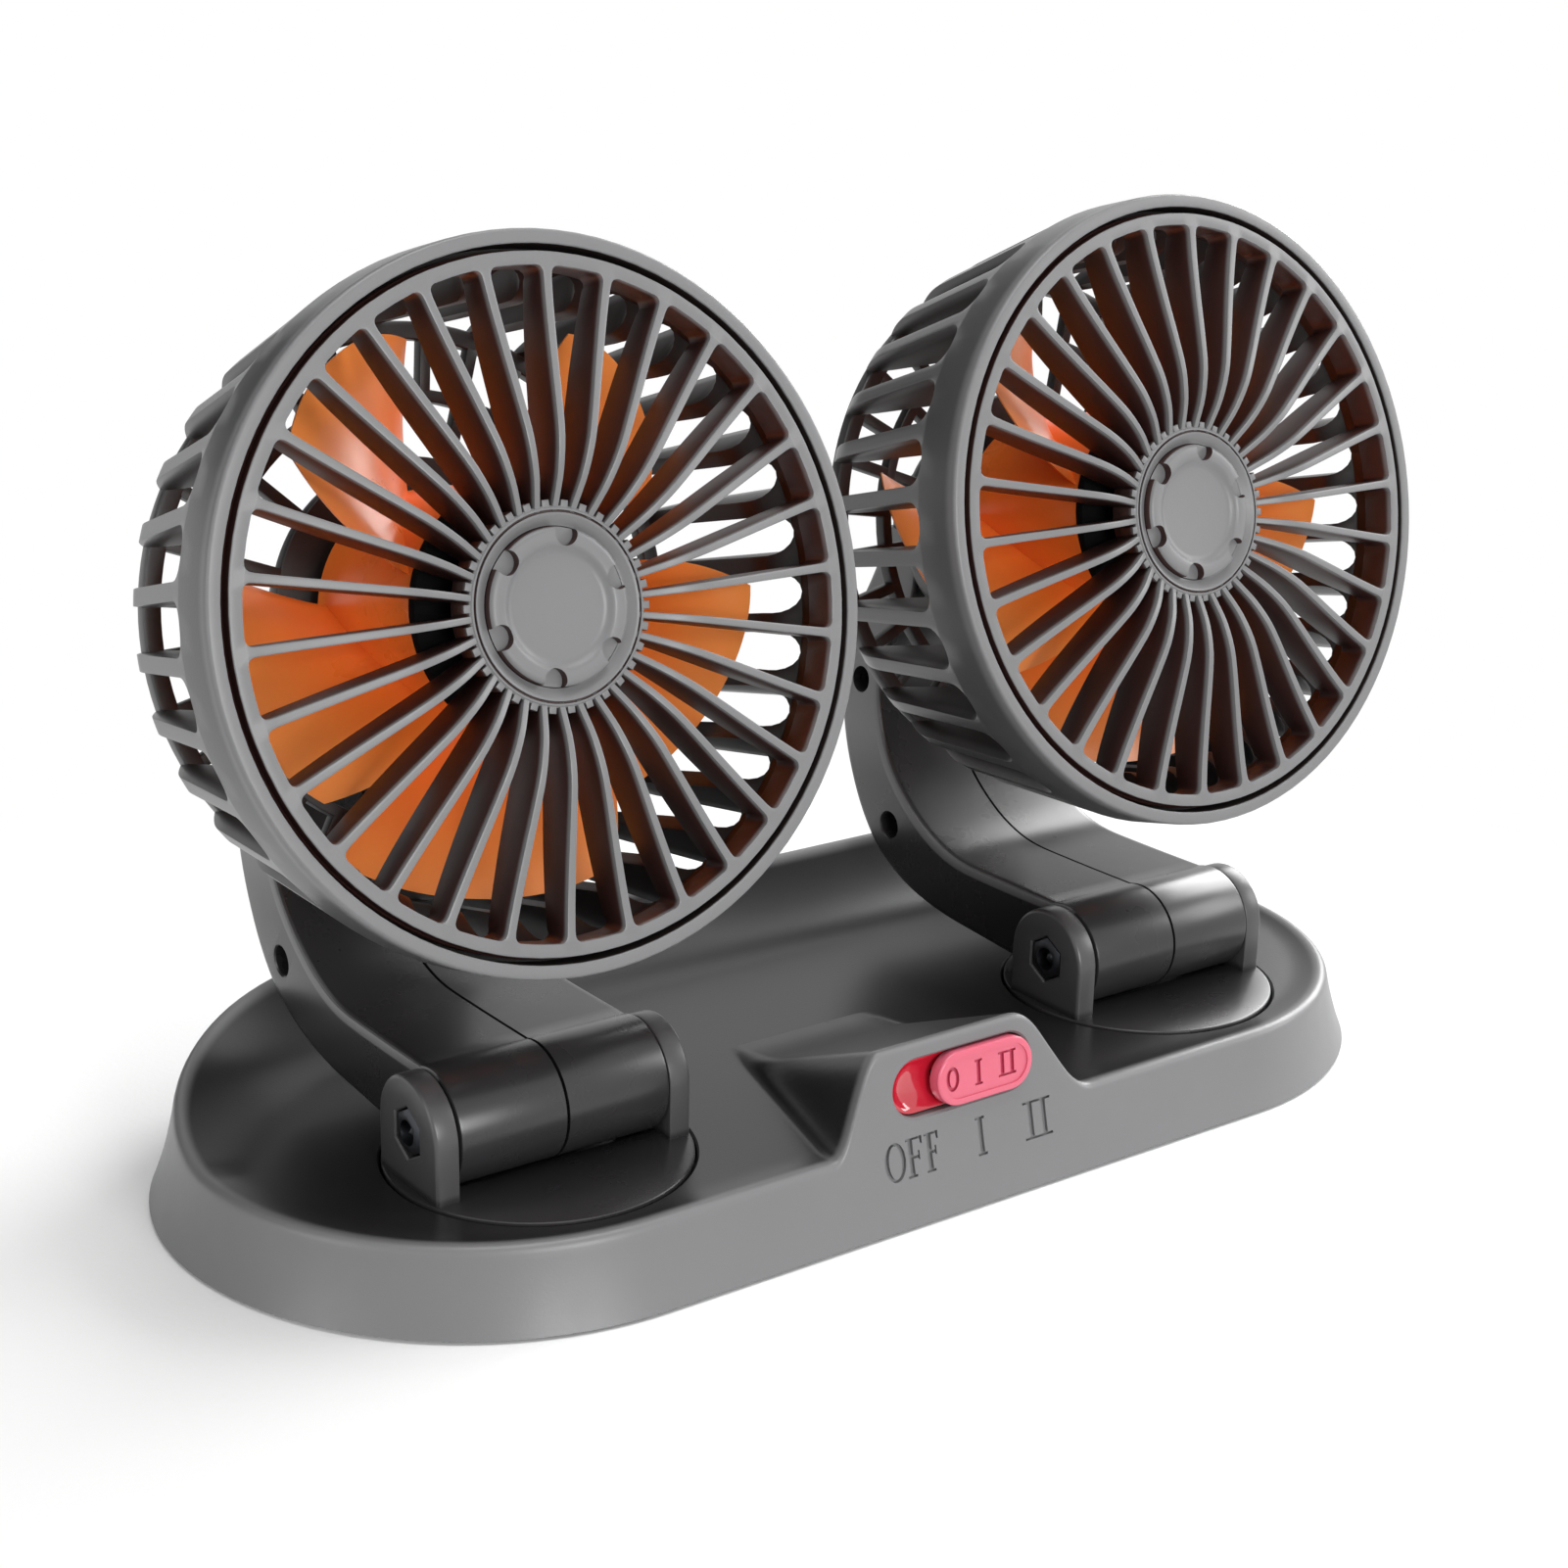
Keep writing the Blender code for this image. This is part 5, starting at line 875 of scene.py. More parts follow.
def arm_half(side):
    """Half of the arm with its half barrel, screw pillars and half of the pad."""
    flip = Matrix.Diagonal((side, 1.0, 1.0, 1.0))
    elbow = mesh_of(draw_elbow)
    elbow.transform(flip)
    if side < 0:
        elbow.flip_normals()
    past, wide = -PAST_SEAM * side, ARM_HALF_WIDTH * side
    barrel_end = wide - 0.05 * side
    barrel = rod(BARREL_RADIUS, (past, HINGE_Y, HINGE_Z), (barrel_end, HINGE_Y, HINGE_Z), 80, 0.5)
    extra = [barrel]
    holes = [rod(BOLT_BORE, (-31.0, HINGE_Y, HINGE_Z), (31.0, HINGE_Y, HINGE_Z), 27)]
    for _, y, z in ARM_SCREWS:
        extra.append(rod(4.1, (past, y, z), (wide - 1.2 * side, y, z), 20))
        holes.append(rod(PILOT, (2 * past, y, z), (-19.0 if side < 0 else 10.05, y, z), 16))
        if side < 0:
            holes.append(lathe(
                [(0.0, -9.95), (2.6, -9.95), (2.6, -18.7), (3.0, -19.1), (3.0, -24.0),
                 (0.0, -24.0)], 32, place=placed(0.0, y, z, math.pi / 2, "Y")))
    pad = lathe(eased([(0.0, -PAD_BACK), (PAD_RADIUS, -PAD_BACK), (PAD_RADIUS, -PAD_FRONT),
                       (0.0, -PAD_FRONT)], 0.6, closed=False), 64, place=HEAD_PLACE)
    extra.append(pad)
    x = side * HEAD_SCREW_X
    for radius, start in ((PILOT, 0.0), (2.9, -PAD_BACK + 3.6)):
        holes.append(rod(
            radius, HEAD_PLACE @ Vector((x, 0.0, -80.0)), HEAD_PLACE @ Vector((x, 0.0, start)),
            24))
    seam, far = side * SEAM_HALF_GAP, -side * 200.0
    other_side = plate(oblong(min(seam, far), -200.0, max(seam, far), 200.0), -100.0, 300.0)
    return carved(carved(joined(elbow, *extra), other_side), *holes)


arm_abs = faded(  # Painted light: dark polished over the top and the barrel; lighter satin on each flank's upper part, fading out towards the ear, and in a narrow band along its front edge that stands for the edge's highlight.
    # and in a narrow band along its front edge.
    "grey_abs_arm", hinge_shade_abs, satin_abs, "flank_painted_light", 0.1, 0.95)
arm_top = [station[:2] for station in curve_through(ARM_STATIONS, 24)]


def flank_painted_light(face, x, y, z):
    """How much lighter satin a flank has, as painted light: all of it above and along the front
    edge.
    """
    if abs(face.center.x) < 5.0 or abs(face.normal.x) < 0.1:
        return 0.0
    down = min(math.hypot(y - top_y, z - top_z) for top_y, top_z in arm_top)
    if down < (LIGHT_EDGE + LIGHT_EDGE_END) / 2:
        return abs(face.normal.x)
    return abs(face.normal.x) * min(1.0, max(0.0, (z - FLANK_LIGHT_FROM) / FLANK_LIGHT_FADE))


for label, side in (("left", -1), ("right", 1)):
    half = arm_half(side)
    measured_corners(half, "flank_painted_light", flank_painted_light)
    show_twice("arm_half_" + label, half, arm_abs, "head", "grey_plastic",
               "arm_%s_half" % label)
for label, y, z in ARM_SCREWS:
    across = placed(-11.55, y, z, -math.pi / 2, "Y")
    show_twice("arm_screw_black_" + label, small_screw(19.0, across), black_oxide, "head",
               "steel", "arm_screw_" + label)


# Fan housings.
# The drum is one satin ABS moulding: a rounded lip and band in front, thirty-two deep thin
# fins with round-cornered slots between them, a hoop behind, and a rear grille of spokes.

HEAD_RADIUS, TAPER, TAPER_SPAN = 55.0, 6.16, 35.45
BEND_DEPTH, BEND_SPAN, BEND_IN = 38.0, 8.6, 2.6
LIP_INNER, LIP_DEPTH, LEDGE_INNER, LEDGE_BACK, BAND_DEPTH = 52.75, 6.6, 50.325, 9.0, 9.35
REAR_FRONT, REAR_BACK, HOOP_INNER, HOOP_OUTER = 44.0, 46.5, 43.5, 46.475
FIN_COUNT, FIN_PHASE = 32, math.radians(1.4)
FIN_HALF_THICK, SLOT_FILLET = 1.35, 3.6


def ring_tree():
    """A node tree that repeats its object's mesh round the Z axis."""
    tree = bpy.data.node_groups.new("copies_in_a_ring", "GeometryNodeTree")
    sockets = {}
    for name, kind in (("Template", "Geometry"), ("Count", "Int"), ("First Angle", "Float"),
                       ("Seam", "Float"), ("Material", "Material")):
        socket = tree.interface.new_socket(
            name, in_out="INPUT", socket_type="NodeSocket" + kind)
        sockets[name] = socket.identifier
    tree.interface.new_socket("Ring", in_out="OUTPUT", socket_type="NodeSocketGeometry")
    given = add_node(tree, "NodeGroupInput").outputs
    points = add_node(tree, "GeometryNodePoints", {"Count": given["Count"]})
    number = add_node(tree, "GeometryNodeInputIndex").outputs[0]
    pitch = add_node(tree, "ShaderNodeMath", {0: math.tau, 1: given["Count"]},
                     operation="DIVIDE").outputs[0]
    angle = add_node(tree, "ShaderNodeMath", {0: number, 1: pitch, 2: given["First Angle"]},
                     operation="MULTIPLY_ADD").outputs[0]
    turn = add_node(tree, "ShaderNodeCombineXYZ", {"Z": angle}).outputs[0]
    copies = add_node(tree, "GeometryNodeInstanceOnPoints", {
        "Points": points.outputs[0], "Instance": given["Template"], "Rotation": turn})
    real = add_node(tree, "GeometryNodeRealizeInstances", {0: copies.outputs[0]})
    welded = add_node(tree, "GeometryNodeMergeByDistance", {
        "Geometry": real.outputs[0], "Distance": given["Seam"]})
    painted = add_node(tree, "GeometryNodeSetMaterial", {
        "Geometry": welded.outputs[0], "Material": given["Material"]})
    add_node(tree, "NodeGroupOutput", {0: painted.outputs[0]})
    return tree, sockets


RING, RING_INPUTS = ring_tree()


def ring_of(template, count, material, first_angle=0.0, seam=0.001):
    """The template's copies round the Z axis, as one plain mesh."""
    item = working(template)
    ring = item.modifiers.new("ring", "NODES")
    ring.node_group = RING
    for name, value in (("Count", count), ("First Angle", first_angle), ("Seam", seam),
                        ("Material", material)):
        ring[RING_INPUTS[name]] = value
    return outcome(item)


def softened(mesh, width):
    """The mesh with its edges sharper than 50 degrees rounded by a small width."""
    item = working(mesh)
    ease = item.modifiers.new("ease", "BEVEL")
    ease.width = width
    ease.segments = 2
    ease.limit_method = "ANGLE"
    ease.angle_limit = math.radians(50.0)
    return outcome(item)


def rimmed_bar(rim, bar, half_pitch):
    """One cell of a ring: a piece of rim as wide as the pitch, and a bar that leaves it.

    rim is the rim's outline in radius and depth, from the bar's front round to its back.
    bar gives each row's front point, back point and half width, from the rim outwards.
    """

    def point(shape, place, aside=None, turn=None):
        radius, depth = place
        turn = aside / radius if turn is None else turn
        return shape.verts.new((radius * math.cos(turn), radius * math.sin(turn), -depth))

    def build(shape):
        def across(place, half_width):
            return [point(shape, place, aside=half_width * share)
                    for share in (-1, -1 / 3, 1 / 3, 1)]

        rim_rows = []
        for place in rim:
            row = [point(shape, place, turn=-half_pitch), *across(place, bar[0][2])]
            rim_rows.append([*row, point(shape, place, turn=half_pitch)])
        front, back = [rim_rows[0][1:5]], [rim_rows[-1][1:5]]
        for front_place, back_place, half_width in bar[1:]:
            front.append(across(front_place, half_width))
            back.append(across(back_place, half_width))
        for rows in (rim_rows, front, back):
            for row, beyond in zip(rows, rows[1:]):
                strip(shape, row, beyond)
        strip(shape, front[-1], back[-1])
        for side in (0, -1):
            strip(shape, *[
                [rim_row[side], *[row[side] for row in rows]]
                for rim_row, rows in ((rim_rows[0], front), (rim_rows[-1], back))])

    return mesh_of(build)


def fin_outer(depth):
    """The drum's outer radius: a straight taper that rounds over towards the hoop."""
    radius = HEAD_RADIUS - TAPER * (depth - BAND_DEPTH) / TAPER_SPAN
    bend = max(0.0, (depth - BEND_DEPTH) / BEND_SPAN)
    return radius - BEND_IN * bend * bend


def fin_inner(depth):
    """The fins' inner edge: from the ledge down to the hoop's outer side."""
    share = min(1.0, (depth - LEDGE_BACK) / 6.0)
    return LEDGE_INNER - (LEDGE_INNER - HOOP_OUTER + 0.3) * math.sin(math.pi / 2 * share)


half_pitch = math.pi / FIN_COUNT
lip = [(HEAD_RADIUS, BAND_DEPTH), (HEAD_RADIUS, 5.0)]
lip += eased([(HEAD_RADIUS, 5.0), (HEAD_RADIUS, 0.0), (53.7, 0.0)], 1.2,
             closed=False, steps=5)[1:-1]
lip += eased([(53.7, 0.0), (LIP_INNER, 0.0), (LIP_INNER, LIP_DEPTH)], 0.4,
             closed=False, steps=3)[1:-1]
lip += [(LIP_INNER, LIP_DEPTH), (LEDGE_INNER, LIP_DEPTH), (LEDGE_INNER, LEDGE_BACK)]
fin_rows = []
for step in range(6):
    bend = math.pi / 2 * step / 5
    along = SLOT_FILLET * (1 - math.cos(bend))
    aside = FIN_HALF_THICK + SLOT_FILLET * (1 - math.sin(bend))
    fin_rows.append((BAND_DEPTH + along, LEDGE_BACK + along, aside))
fin_rows += [(14.0 + 3.0 * step, 14.0 + 3.0 * step, FIN_HALF_THICK) for step in range(8)]
fin_rows += [(37.0 + 1.2 * step, 37.0 + 1.2 * step, FIN_HALF_THICK - 0.03 * step)
             for step in range(9)]
fins = [((fin_outer(front), front), (fin_inner(back), back), half)
        for front, back, half in fin_rows]
fins[0] = (lip[0], lip[-1], fins[0][2])
drum = softened(
    ring_of(rimmed_bar(lip, fins, half_pitch), FIN_COUNT, satin_abs, FIN_PHASE), 0.4)


def rear_spoke(inner, outer):
    """A straight rear spoke, lying along X between two radii."""
    return plate(
        oblong(inner, -1.0, outer, 1.0), -REAR_BACK, -REAR_FRONT, 0.35, 0.35, steps=2)


rear = [
    hoop(HOOP_INNER, HOOP_OUTER, -REAR_FRONT, -REAR_BACK, 0.5, 128),
    hoop(33.8, 35.8, -REAR_FRONT, -REAR_BACK, 0.4, 96),
    hoop(3.3, 25.0, -REAR_FRONT, -REAR_BACK, 0.4, 96),
    ring_of(rear_spoke(35.3, 44.0), FIN_COUNT, satin_abs, FIN_PHASE),
    ring_of(rear_spoke(24.5, 34.3), FIN_COUNT // 2, satin_abs, FIN_PHASE),
]
for x in (-HEAD_SCREW_X, HEAD_SCREW_X):
    rear.append(hoop(PILOT, 2.7, -45.5, -58.0, 0.2, 32, placed(x, 0.0, 0.0)))
housing = merged([drum, *rear])


def under_skin(x, y, z):
    """How far a point of the drum lies inside its skin, or down the groove in the lip."""
    radius, depth = math.hypot(x, y), -z
    if depth < LIP_DEPTH and radius > LIP_INNER - 0.5:
        return 4.0 * depth if radius < LIP_INNER + 0.1 else 0.0
    return fin_outer(max(depth, BAND_DEPTH)) - radius


# The depth under the skin and the depth behind the lip mask the painted shade between the fins and
# on the band.
measured(housing, "under_skin", under_skin)
measured(housing, "behind_lip", lambda x, y, z: -z)
fin_shade_abs = moulded(  # Painted shade: the same ABS painted nearly black deep between the fins, down the lip's groove and on the rear grille inside.
    "grey_abs_painted_shade_between_fins", "#241D1B", "#1C1716", (0.42, 0.52), 0.45, 0.012)
band_shade_abs = moulded(  # The same ABS off a smoother part of the mould, glossier; its darker tone behind the lip is painted shade.
    "grey_abs_band_painted_shade", "#4E4E4F", "#484849", (0.3, 0.38), 0.5, 0.006)
drum_abs = faded("grey_abs_satin_to_band_shade", satin_abs, band_shade_abs, "behind_lip", 1.0, 3.0)
drum_abs = faded("grey_abs_drum_painted_shade", drum_abs, fin_shade_abs, "under_skin", 0.7, 2.2)
housing.transform(HEAD_PLACE)
show_twice("drum_with_fins", housing, drum_abs, "head", "grey_plastic", "housing")


# Motors and impellers.
# A small steel-cased motor stands on the rear grille. On its shaft turns the impeller: a cup
# round the motor with five broad blades, in one glossy orange PP moulding, and a black nylon
# disc pressed on the cup's front.

MOTOR_FRONT, MOTOR_BACK, MOTOR_RADIUS = 19.5, 43.7, 12.5
HUB_FRONT, HUB_BACK, HUB_RADIUS, HUB_WALL = 8.8, 40.7, 19.525, 1.6
BLADE_FRONT, BLADE_BACK, BLADE_TIP, BLADE_THICK = 11.0, 38.0, 44.55, 1.5
BLADE_ROOT_SWEEP, BLADE_TIP_SWEEP = math.radians(60.6), math.radians(51.5)
BLADE_TIP_LAG, BLADE_FIRST = math.radians(12.4), math.radians(56.3)
TIP_ROUNDING, TIP_NARROWING, BLADE_CAMBER = 0.04, 0.12, 0.06
DISC_THICK, DISC_EDGE = 1.5, 0.12

motor = lathe(
    [(0.0, -28.0), (1.3, -28.0), (1.3, -MOTOR_FRONT), (4.4, -MOTOR_FRONT), (4.4, -20.1),
     (MOTOR_RADIUS - 1.0, -20.1), (MOTOR_RADIUS - 0.3, -20.4), (MOTOR_RADIUS, -21.1),
     (MOTOR_RADIUS, -40.4), (MOTOR_RADIUS - 0.3, -40.6), (MOTOR_RADIUS - 0.3, -41.0),
     (MOTOR_RADIUS, -41.2), (MOTOR_RADIUS, -MOTOR_BACK + 0.6), (MOTOR_RADIUS - 0.6, -MOTOR_BACK),
     (3.0, -MOTOR_BACK), (3.0, -46.1), (2.6, -46.5), (0.0, -46.5)], 64, place=HEAD_PLACE)
show_twice("motor_can", motor, zinc_steel, "head", "steel", "motor")
show_twice("motor_spindle", rod(1.0, HEAD_PLACE @ Vector((0, 0, -27)),
           HEAD_PLACE @ Vector((0, 0, -11.3)), 24, 0.2), zinc_steel, "fan", "steel",
           "motor_shaft")

hub_face = HUB_FRONT + DISC_THICK
hub = lathe(
    [(0.0, -hub_face), (HUB_RADIUS - 0.6, -hub_face), (HUB_RADIUS - 0.15, -hub_face - 0.15),
     (HUB_RADIUS, -hub_face - 0.6), (HUB_RADIUS, -HUB_BACK),
     (HUB_RADIUS - HUB_WALL, -HUB_BACK), (HUB_RADIUS - HUB_WALL, -HUB_FRONT - 2.6),
     (3.0, -HUB_FRONT - 2.6), (3.0, -16.5), (1.3, -16.5), (1.3, -11.6), (0.0, -11.6)], 96)
disc_radius = HUB_RADIUS - DISC_EDGE
front_disc = lathe(
    [(0.0, -HUB_FRONT - 0.5), (6.0, -HUB_FRONT - 0.5), (6.5, -HUB_FRONT),
     (disc_radius - 1.0, -HUB_FRONT), (disc_radius - 0.3, -HUB_FRONT - 0.3),
     (disc_radius, -HUB_FRONT - 0.9), (disc_radius, -hub_face + 0.02), (0.0, -hub_face + 0.02)],
    96, place=HEAD_PLACE)


def draw_blade(shape):
    """A helical sheet from inside the cup's wall to a round tip, thinning to its edges."""
    out_steps, chord_steps = 14, 26
    root = HUB_RADIUS - 0.5
    sheets = []
    for face in (0.5, -0.5):
        sheet = []
        for out in range(out_steps + 1):
            o = out / out_steps
            row = []
            for step in range(chord_steps + 1):
                c = step / chord_steps
                radius = root + (BLADE_TIP - root) * o
                sweep = BLADE_ROOT_SWEEP + (BLADE_TIP_SWEEP - BLADE_ROOT_SWEEP) * o
                turn = (0.5 - c) * sweep - BLADE_TIP_LAG * o
                radius -= abs(2 * c - 1) ** 3 * TIP_ROUNDING * o * BLADE_TIP
                span = (BLADE_BACK - BLADE_FRONT) * (1 - TIP_NARROWING * o)
                height = -(BLADE_FRONT + BLADE_BACK) / 2 + span * (0.5 - c)
                height += math.sin(math.pi * c) * BLADE_CAMBER * span
                edge = min(1.0, 6 * min(c, 1 - c) + 0.25, 6 * (1 - o) + 0.25)
                height += face * BLADE_THICK * edge
                row.append(shape.verts.new((
                    radius * math.cos(turn), radius * math.sin(turn), height)))
            sheet.append(row)
        sheets.append(sheet)
    for sheet in sheets:
        for row, beyond in zip(sheet, sheet[1:]):
            strip(shape, row, beyond)
    loops = []
    for sheet in sheets:
        loop = [*sheet[0], *[row[-1] for row in sheet[1:]], *reversed(sheet[-1][:-1])]
        loops.append(loop + [row[0] for row in reversed(sheet[1:-1])])
    strip(shape, *loops, closed=True)


orange_pp = moulded(  # Glossy orange polypropylene: waxy, bright, letting a little light in.
    "orange_polypropylene_glossy", "#FF8030", "#FE792B", (0.26, 0.34), 1.0, 0.008,
    Subsurface_Weight=0.12, Subsurface_Scale=0.003)
tip_light_pp = moulded(  # Painted light: the same PP painted paler out along the blades, standing in for light coming through the thin plastic.
    "orange_polypropylene_painted_light", "#FF974C", "#FF9046", (0.26, 0.34), 1.0, 0.008)
blades = ring_of(mesh_of(draw_blade), 5, orange_pp, BLADE_FIRST, 0.0)
impeller = merged([blades, hub])
measured(impeller, "from_cup", lambda x, y, z: math.hypot(x, y) - HUB_RADIUS)
impeller.transform(HEAD_PLACE)
blade_pp = faded("orange_polypropylene_blades", orange_pp, tip_light_pp, "from_cup", 3.0, 22.0)
show_twice("impeller", impeller, blade_pp, "fan", "orange_plastic", "impeller", crease=50.0)
disc_nylon = moulded(  # Black nylon in the fan's shade: next to no light comes back.
    "black_nylon_disc", "#060606", "#090909", (0.75, 0.85), 0.5, 0.01, Specular_IOR_Level=0.1)
show_twice("impeller_front_disc", front_disc, disc_nylon, "fan", "black_plastic", "impeller")


# Front grilles and hub caps.
# The guard in front is a satin ABS ring with thirty blade-like spokes that bow forwards, and
# a hub ring with a tooth between each pair of spokes. A notched cap snaps into the hub.

SPOKE_COUNT = 30
GRILLE_OUTER, GRILLE_INNER, GRILLE_DEPTH = 52.075, 49.65, 6.3
GUARD_HUB_RADIUS, GUARD_HUB_DEPTH = 14.85, 6.2
CAP_RADIUS, CAP_SINK, CAP_PROUD = 11.8, 1.9, 0.5
SPOKE_FILLET = 1.15

rim = [(GRILLE_INNER, 0.0)]
rim += eased([(GRILLE_INNER, 0.0), (51.7, 0.0), (51.7, 2.0), (GRILLE_OUTER, 2.4),
              (GRILLE_OUTER, GRILLE_DEPTH), (GRILLE_INNER, GRILLE_DEPTH)], 0.35,
             closed=False, steps=3)[1:]
# Along a spoke: radius, how far its front edge stands forwards, its back edge, half width.
spoke_stations = curve_through((
    (49.17, 0.0, 6.0, 0.7), (44.0, 0.35, 6.5, 0.66), (37.0, 1.15, 6.6, 0.62),
    (30.0, 2.1, 6.3, 0.58), (24.75, 2.55, 6.0, 0.55), (20.0, 1.9, 5.9, 0.52),
    (16.5, 0.6, 5.9, 0.5), (14.0, -0.5, 5.9, 0.49)), 3)
spoke = [((GRILLE_INNER, 0.0), (GRILLE_INNER, GRILLE_DEPTH), 0.74 + SPOKE_FILLET)]
for step in range(1, 6):
    bend = math.pi / 2 * step / 5
    radius = GRILLE_INNER - SPOKE_FILLET * (1 - math.cos(bend))
    spoke.append((
        (radius, -0.05 * bend), (radius, GRILLE_DEPTH - 0.4 * bend),
        0.74 + SPOKE_FILLET * (1 - math.sin(bend))))
for radius, front, back, half in spoke_stations:
    if radius < GRILLE_INNER - SPOKE_FILLET - 0.3:
        spoke.append(((radius, -front), (radius, back), half))
guard = softened(
    ring_of(rimmed_bar(rim, spoke, math.pi / SPOKE_COUNT), SPOKE_COUNT, satin_abs), 0.22)
guard_hub = lathe(
    [(0.0, -CAP_SINK - 0.3), (CAP_RADIUS + 0.15, -CAP_SINK - 0.3), (CAP_RADIUS + 0.15, -1.15),
     (12.4, -1.0), (13.4, -0.2), (13.7, -0.05), (13.85, -0.05), (13.9, -0.55), (14.2, -0.55),
     (14.25, -0.1), (14.5, -0.1), (GUARD_HUB_RADIUS, -0.4),
     (GUARD_HUB_RADIUS, -GUARD_HUB_DEPTH + 0.3),
     (GUARD_HUB_RADIUS - 0.3, -GUARD_HUB_DEPTH), (0.0, -GUARD_HUB_DEPTH)], 120)
tooth = plate(oblong(14.4, -0.62, 15.75, 0.62), -3.4, -0.25, 0.1, 0.15, steps=2)
teeth = ring_of(tooth, SPOKE_COUNT, satin_abs, math.pi / SPOKE_COUNT)
guard = merged([guard, guard_hub, teeth])
front_line = [(GRILLE_INNER, 0.0), *[(radius, front) for radius, front, _, _ in spoke_stations]]


def behind_front(x, y, z):
    """How far a point lies behind the guard's front edge, more at once in its grooves."""
    radius = math.hypot(x, y)
    front = 0.0
    for (outer, high), (inner, low) in zip(front_line, front_line[1:]):
        if inner <= radius <= outer:
            front = high + (low - high) * (outer - radius) / max(outer - inner, 0.001)
    if radius > 51.5:
        return 4.0 * (front - z)
    if radius < 14.5 and z > -1.2:
        return 2.0 if z < -0.45 and radius > 13.7 else 0.0
    return front - z


measured(guard, "behind_front", behind_front)
shaded_abs = moulded(  # The same ABS between the bars, which shows a deep red-brown there:
    # little light comes in, and what does has struck the orange impeller first.
    "grey_abs_in_shade", "#3A211D", "#2E1B19", (0.4, 0.5), 0.45, 0.012)
# Painted shade: the spokes' sides, the rim's walls and the hub's groove take the red-brown in-shade
# tone, which stands for shade and for light reflected off the orange impeller.
guard_abs = faded("grey_abs_satin_guard", satin_abs, shaded_abs, "behind_front", 0.35, 1.5)
guard.transform(HEAD_PLACE)
show_twice("front_guard", guard, guard_abs, "head", "grey_plastic", "front_grille")

cap = lathe(
    [(0.0, -CAP_SINK), (CAP_RADIUS - 0.2, -CAP_SINK), (CAP_RADIUS, -CAP_SINK + 0.2),
     (CAP_RADIUS, -0.35), (CAP_RADIUS - 0.07, 0.0), (CAP_RADIUS - 0.27, 0.28),
     (CAP_RADIUS - 0.55, 0.44), (CAP_RADIUS - 0.9, CAP_PROUD), (9.6, CAP_PROUD), (9.25, 0.4),
     (8.9, 0.1), (8.5, -0.25), (8.1, -0.45), (7.6, -0.5), (0.0, -0.5)], 120)
notches = []
for index in range(6):
    turn, out = math.tau * index / 6 + math.radians(17.0), CAP_RADIUS - 0.9
    place = placed(out * math.cos(turn), out * math.sin(turn), 0.0)
    notches.append(cylinder(1.9, -1.05, 4.0, 32, place))
cap = carved(cap, merged(notches))
measured_corners(cap, "on_wall", lambda face, *place: (
    abs(face.normal.z) < 0.3 and face.center.z < 0.3))
cap.transform(HEAD_PLACE)
# Painted shade: the cap's side walls and the notches' walls take the in-shade tone.
cap_abs = faded("grey_abs_satin_cap", satin_abs, shaded_abs, "on_wall", 0.2, 0.8)
show_twice("hub_cap_notched", cap, cap_abs, "head", "grey_plastic", "hub_cap")


# Motor covers.
# A black ABS cup closes the motor behind the rear grille. Two screws through the arm's pad
# and the cup's floor hold head, cup and arm together.

cup = lathe(
    [(0.0, -58.7), (16.6, -58.7), (18.22, -57.1), (18.22, -46.8), (19.9, -46.8),
     (20.02, -47.1), (20.02, -49.0), (19.6, -49.3), (19.6, -49.9), (20.02, -50.2),
     (20.02, -57.6), (19.7, -59.0), (18.9, -60.0), (17.6, -60.45), (15.6, -60.5),
     (15.2, -60.2), (14.6, -60.2), (14.3, -60.5), (0.0, -60.5)], 96)
screw_ways = [
    rod(PILOT, (x, 0.0, -64.0), (x, 0.0, -56.0), 20) for x in (-HEAD_SCREW_X, HEAD_SCREW_X)]
cup = carved(cup, merged(screw_ways))
cup.transform(HEAD_PLACE)
black_abs = moulded(  # Black ABS from a sparked mould: dry, even black.
    "black_abs_moulded", "#1B1B1C", "#232324", (0.4, 0.5), 0.5, 0.015)
show_twice("motor_cup", cup, black_abs, "head", "black_plastic", "motor_cover")
for label, side in (("left", -1), ("right", 1)):
    forwards = HEAD_PLACE @ placed(side * HEAD_SCREW_X, 0.0, -67.6, math.pi)
    show_twice("head_screw_black_" + label, small_screw(15.0, forwards), black_oxide, "head",
               "steel", "head_screw_" + label)


# Studio.
# A pale table under a large soft lamp, with others in front, on both sides and behind on the
# right, a dim even sky, and black cards behind, which keep the reflections dark. The table
# and the sky look plain white to the camera and in reflections, far brighter than they light.


def lamp(name, place, aim, size, power):
    light = bpy.data.lights.new(name, "AREA")
    light.shape = "RECTANGLE"
    light.size, light.size_y = size
    light.energy = power
    item = bpy.data.objects.new(name, light)
    item.location = place
    item.rotation_euler = (Vector(aim) - Vector(place)).to_track_quat("-Z", "Y").to_euler()
    bpy.context.scene.collection.objects.link(item)


def not_lighting(tree):
    """1 for rays from the camera, in reflections and through clear bodies, 0 for others."""
    path = add_node(tree, "ShaderNodeLightPath").outputs
    seen = path["Is Camera Ray"]
    for kind in ("Is Glossy Ray", "Is Transmission Ray"):
        seen = add_node(tree, "ShaderNodeMath", {0: seen, 1: path[kind]},
                        operation="MAXIMUM").outputs[0]
    return seen


def stage_sheet(name, corners, faces, material):
    mesh = bpy.data.meshes.new(name)
    mesh.from_pydata(corners, [], faces)
    mesh.materials.append(material)
    sheet = bpy.data.objects.new(name, mesh)
    bpy.context.scene.collection.objects.link(sheet)
    return sheet


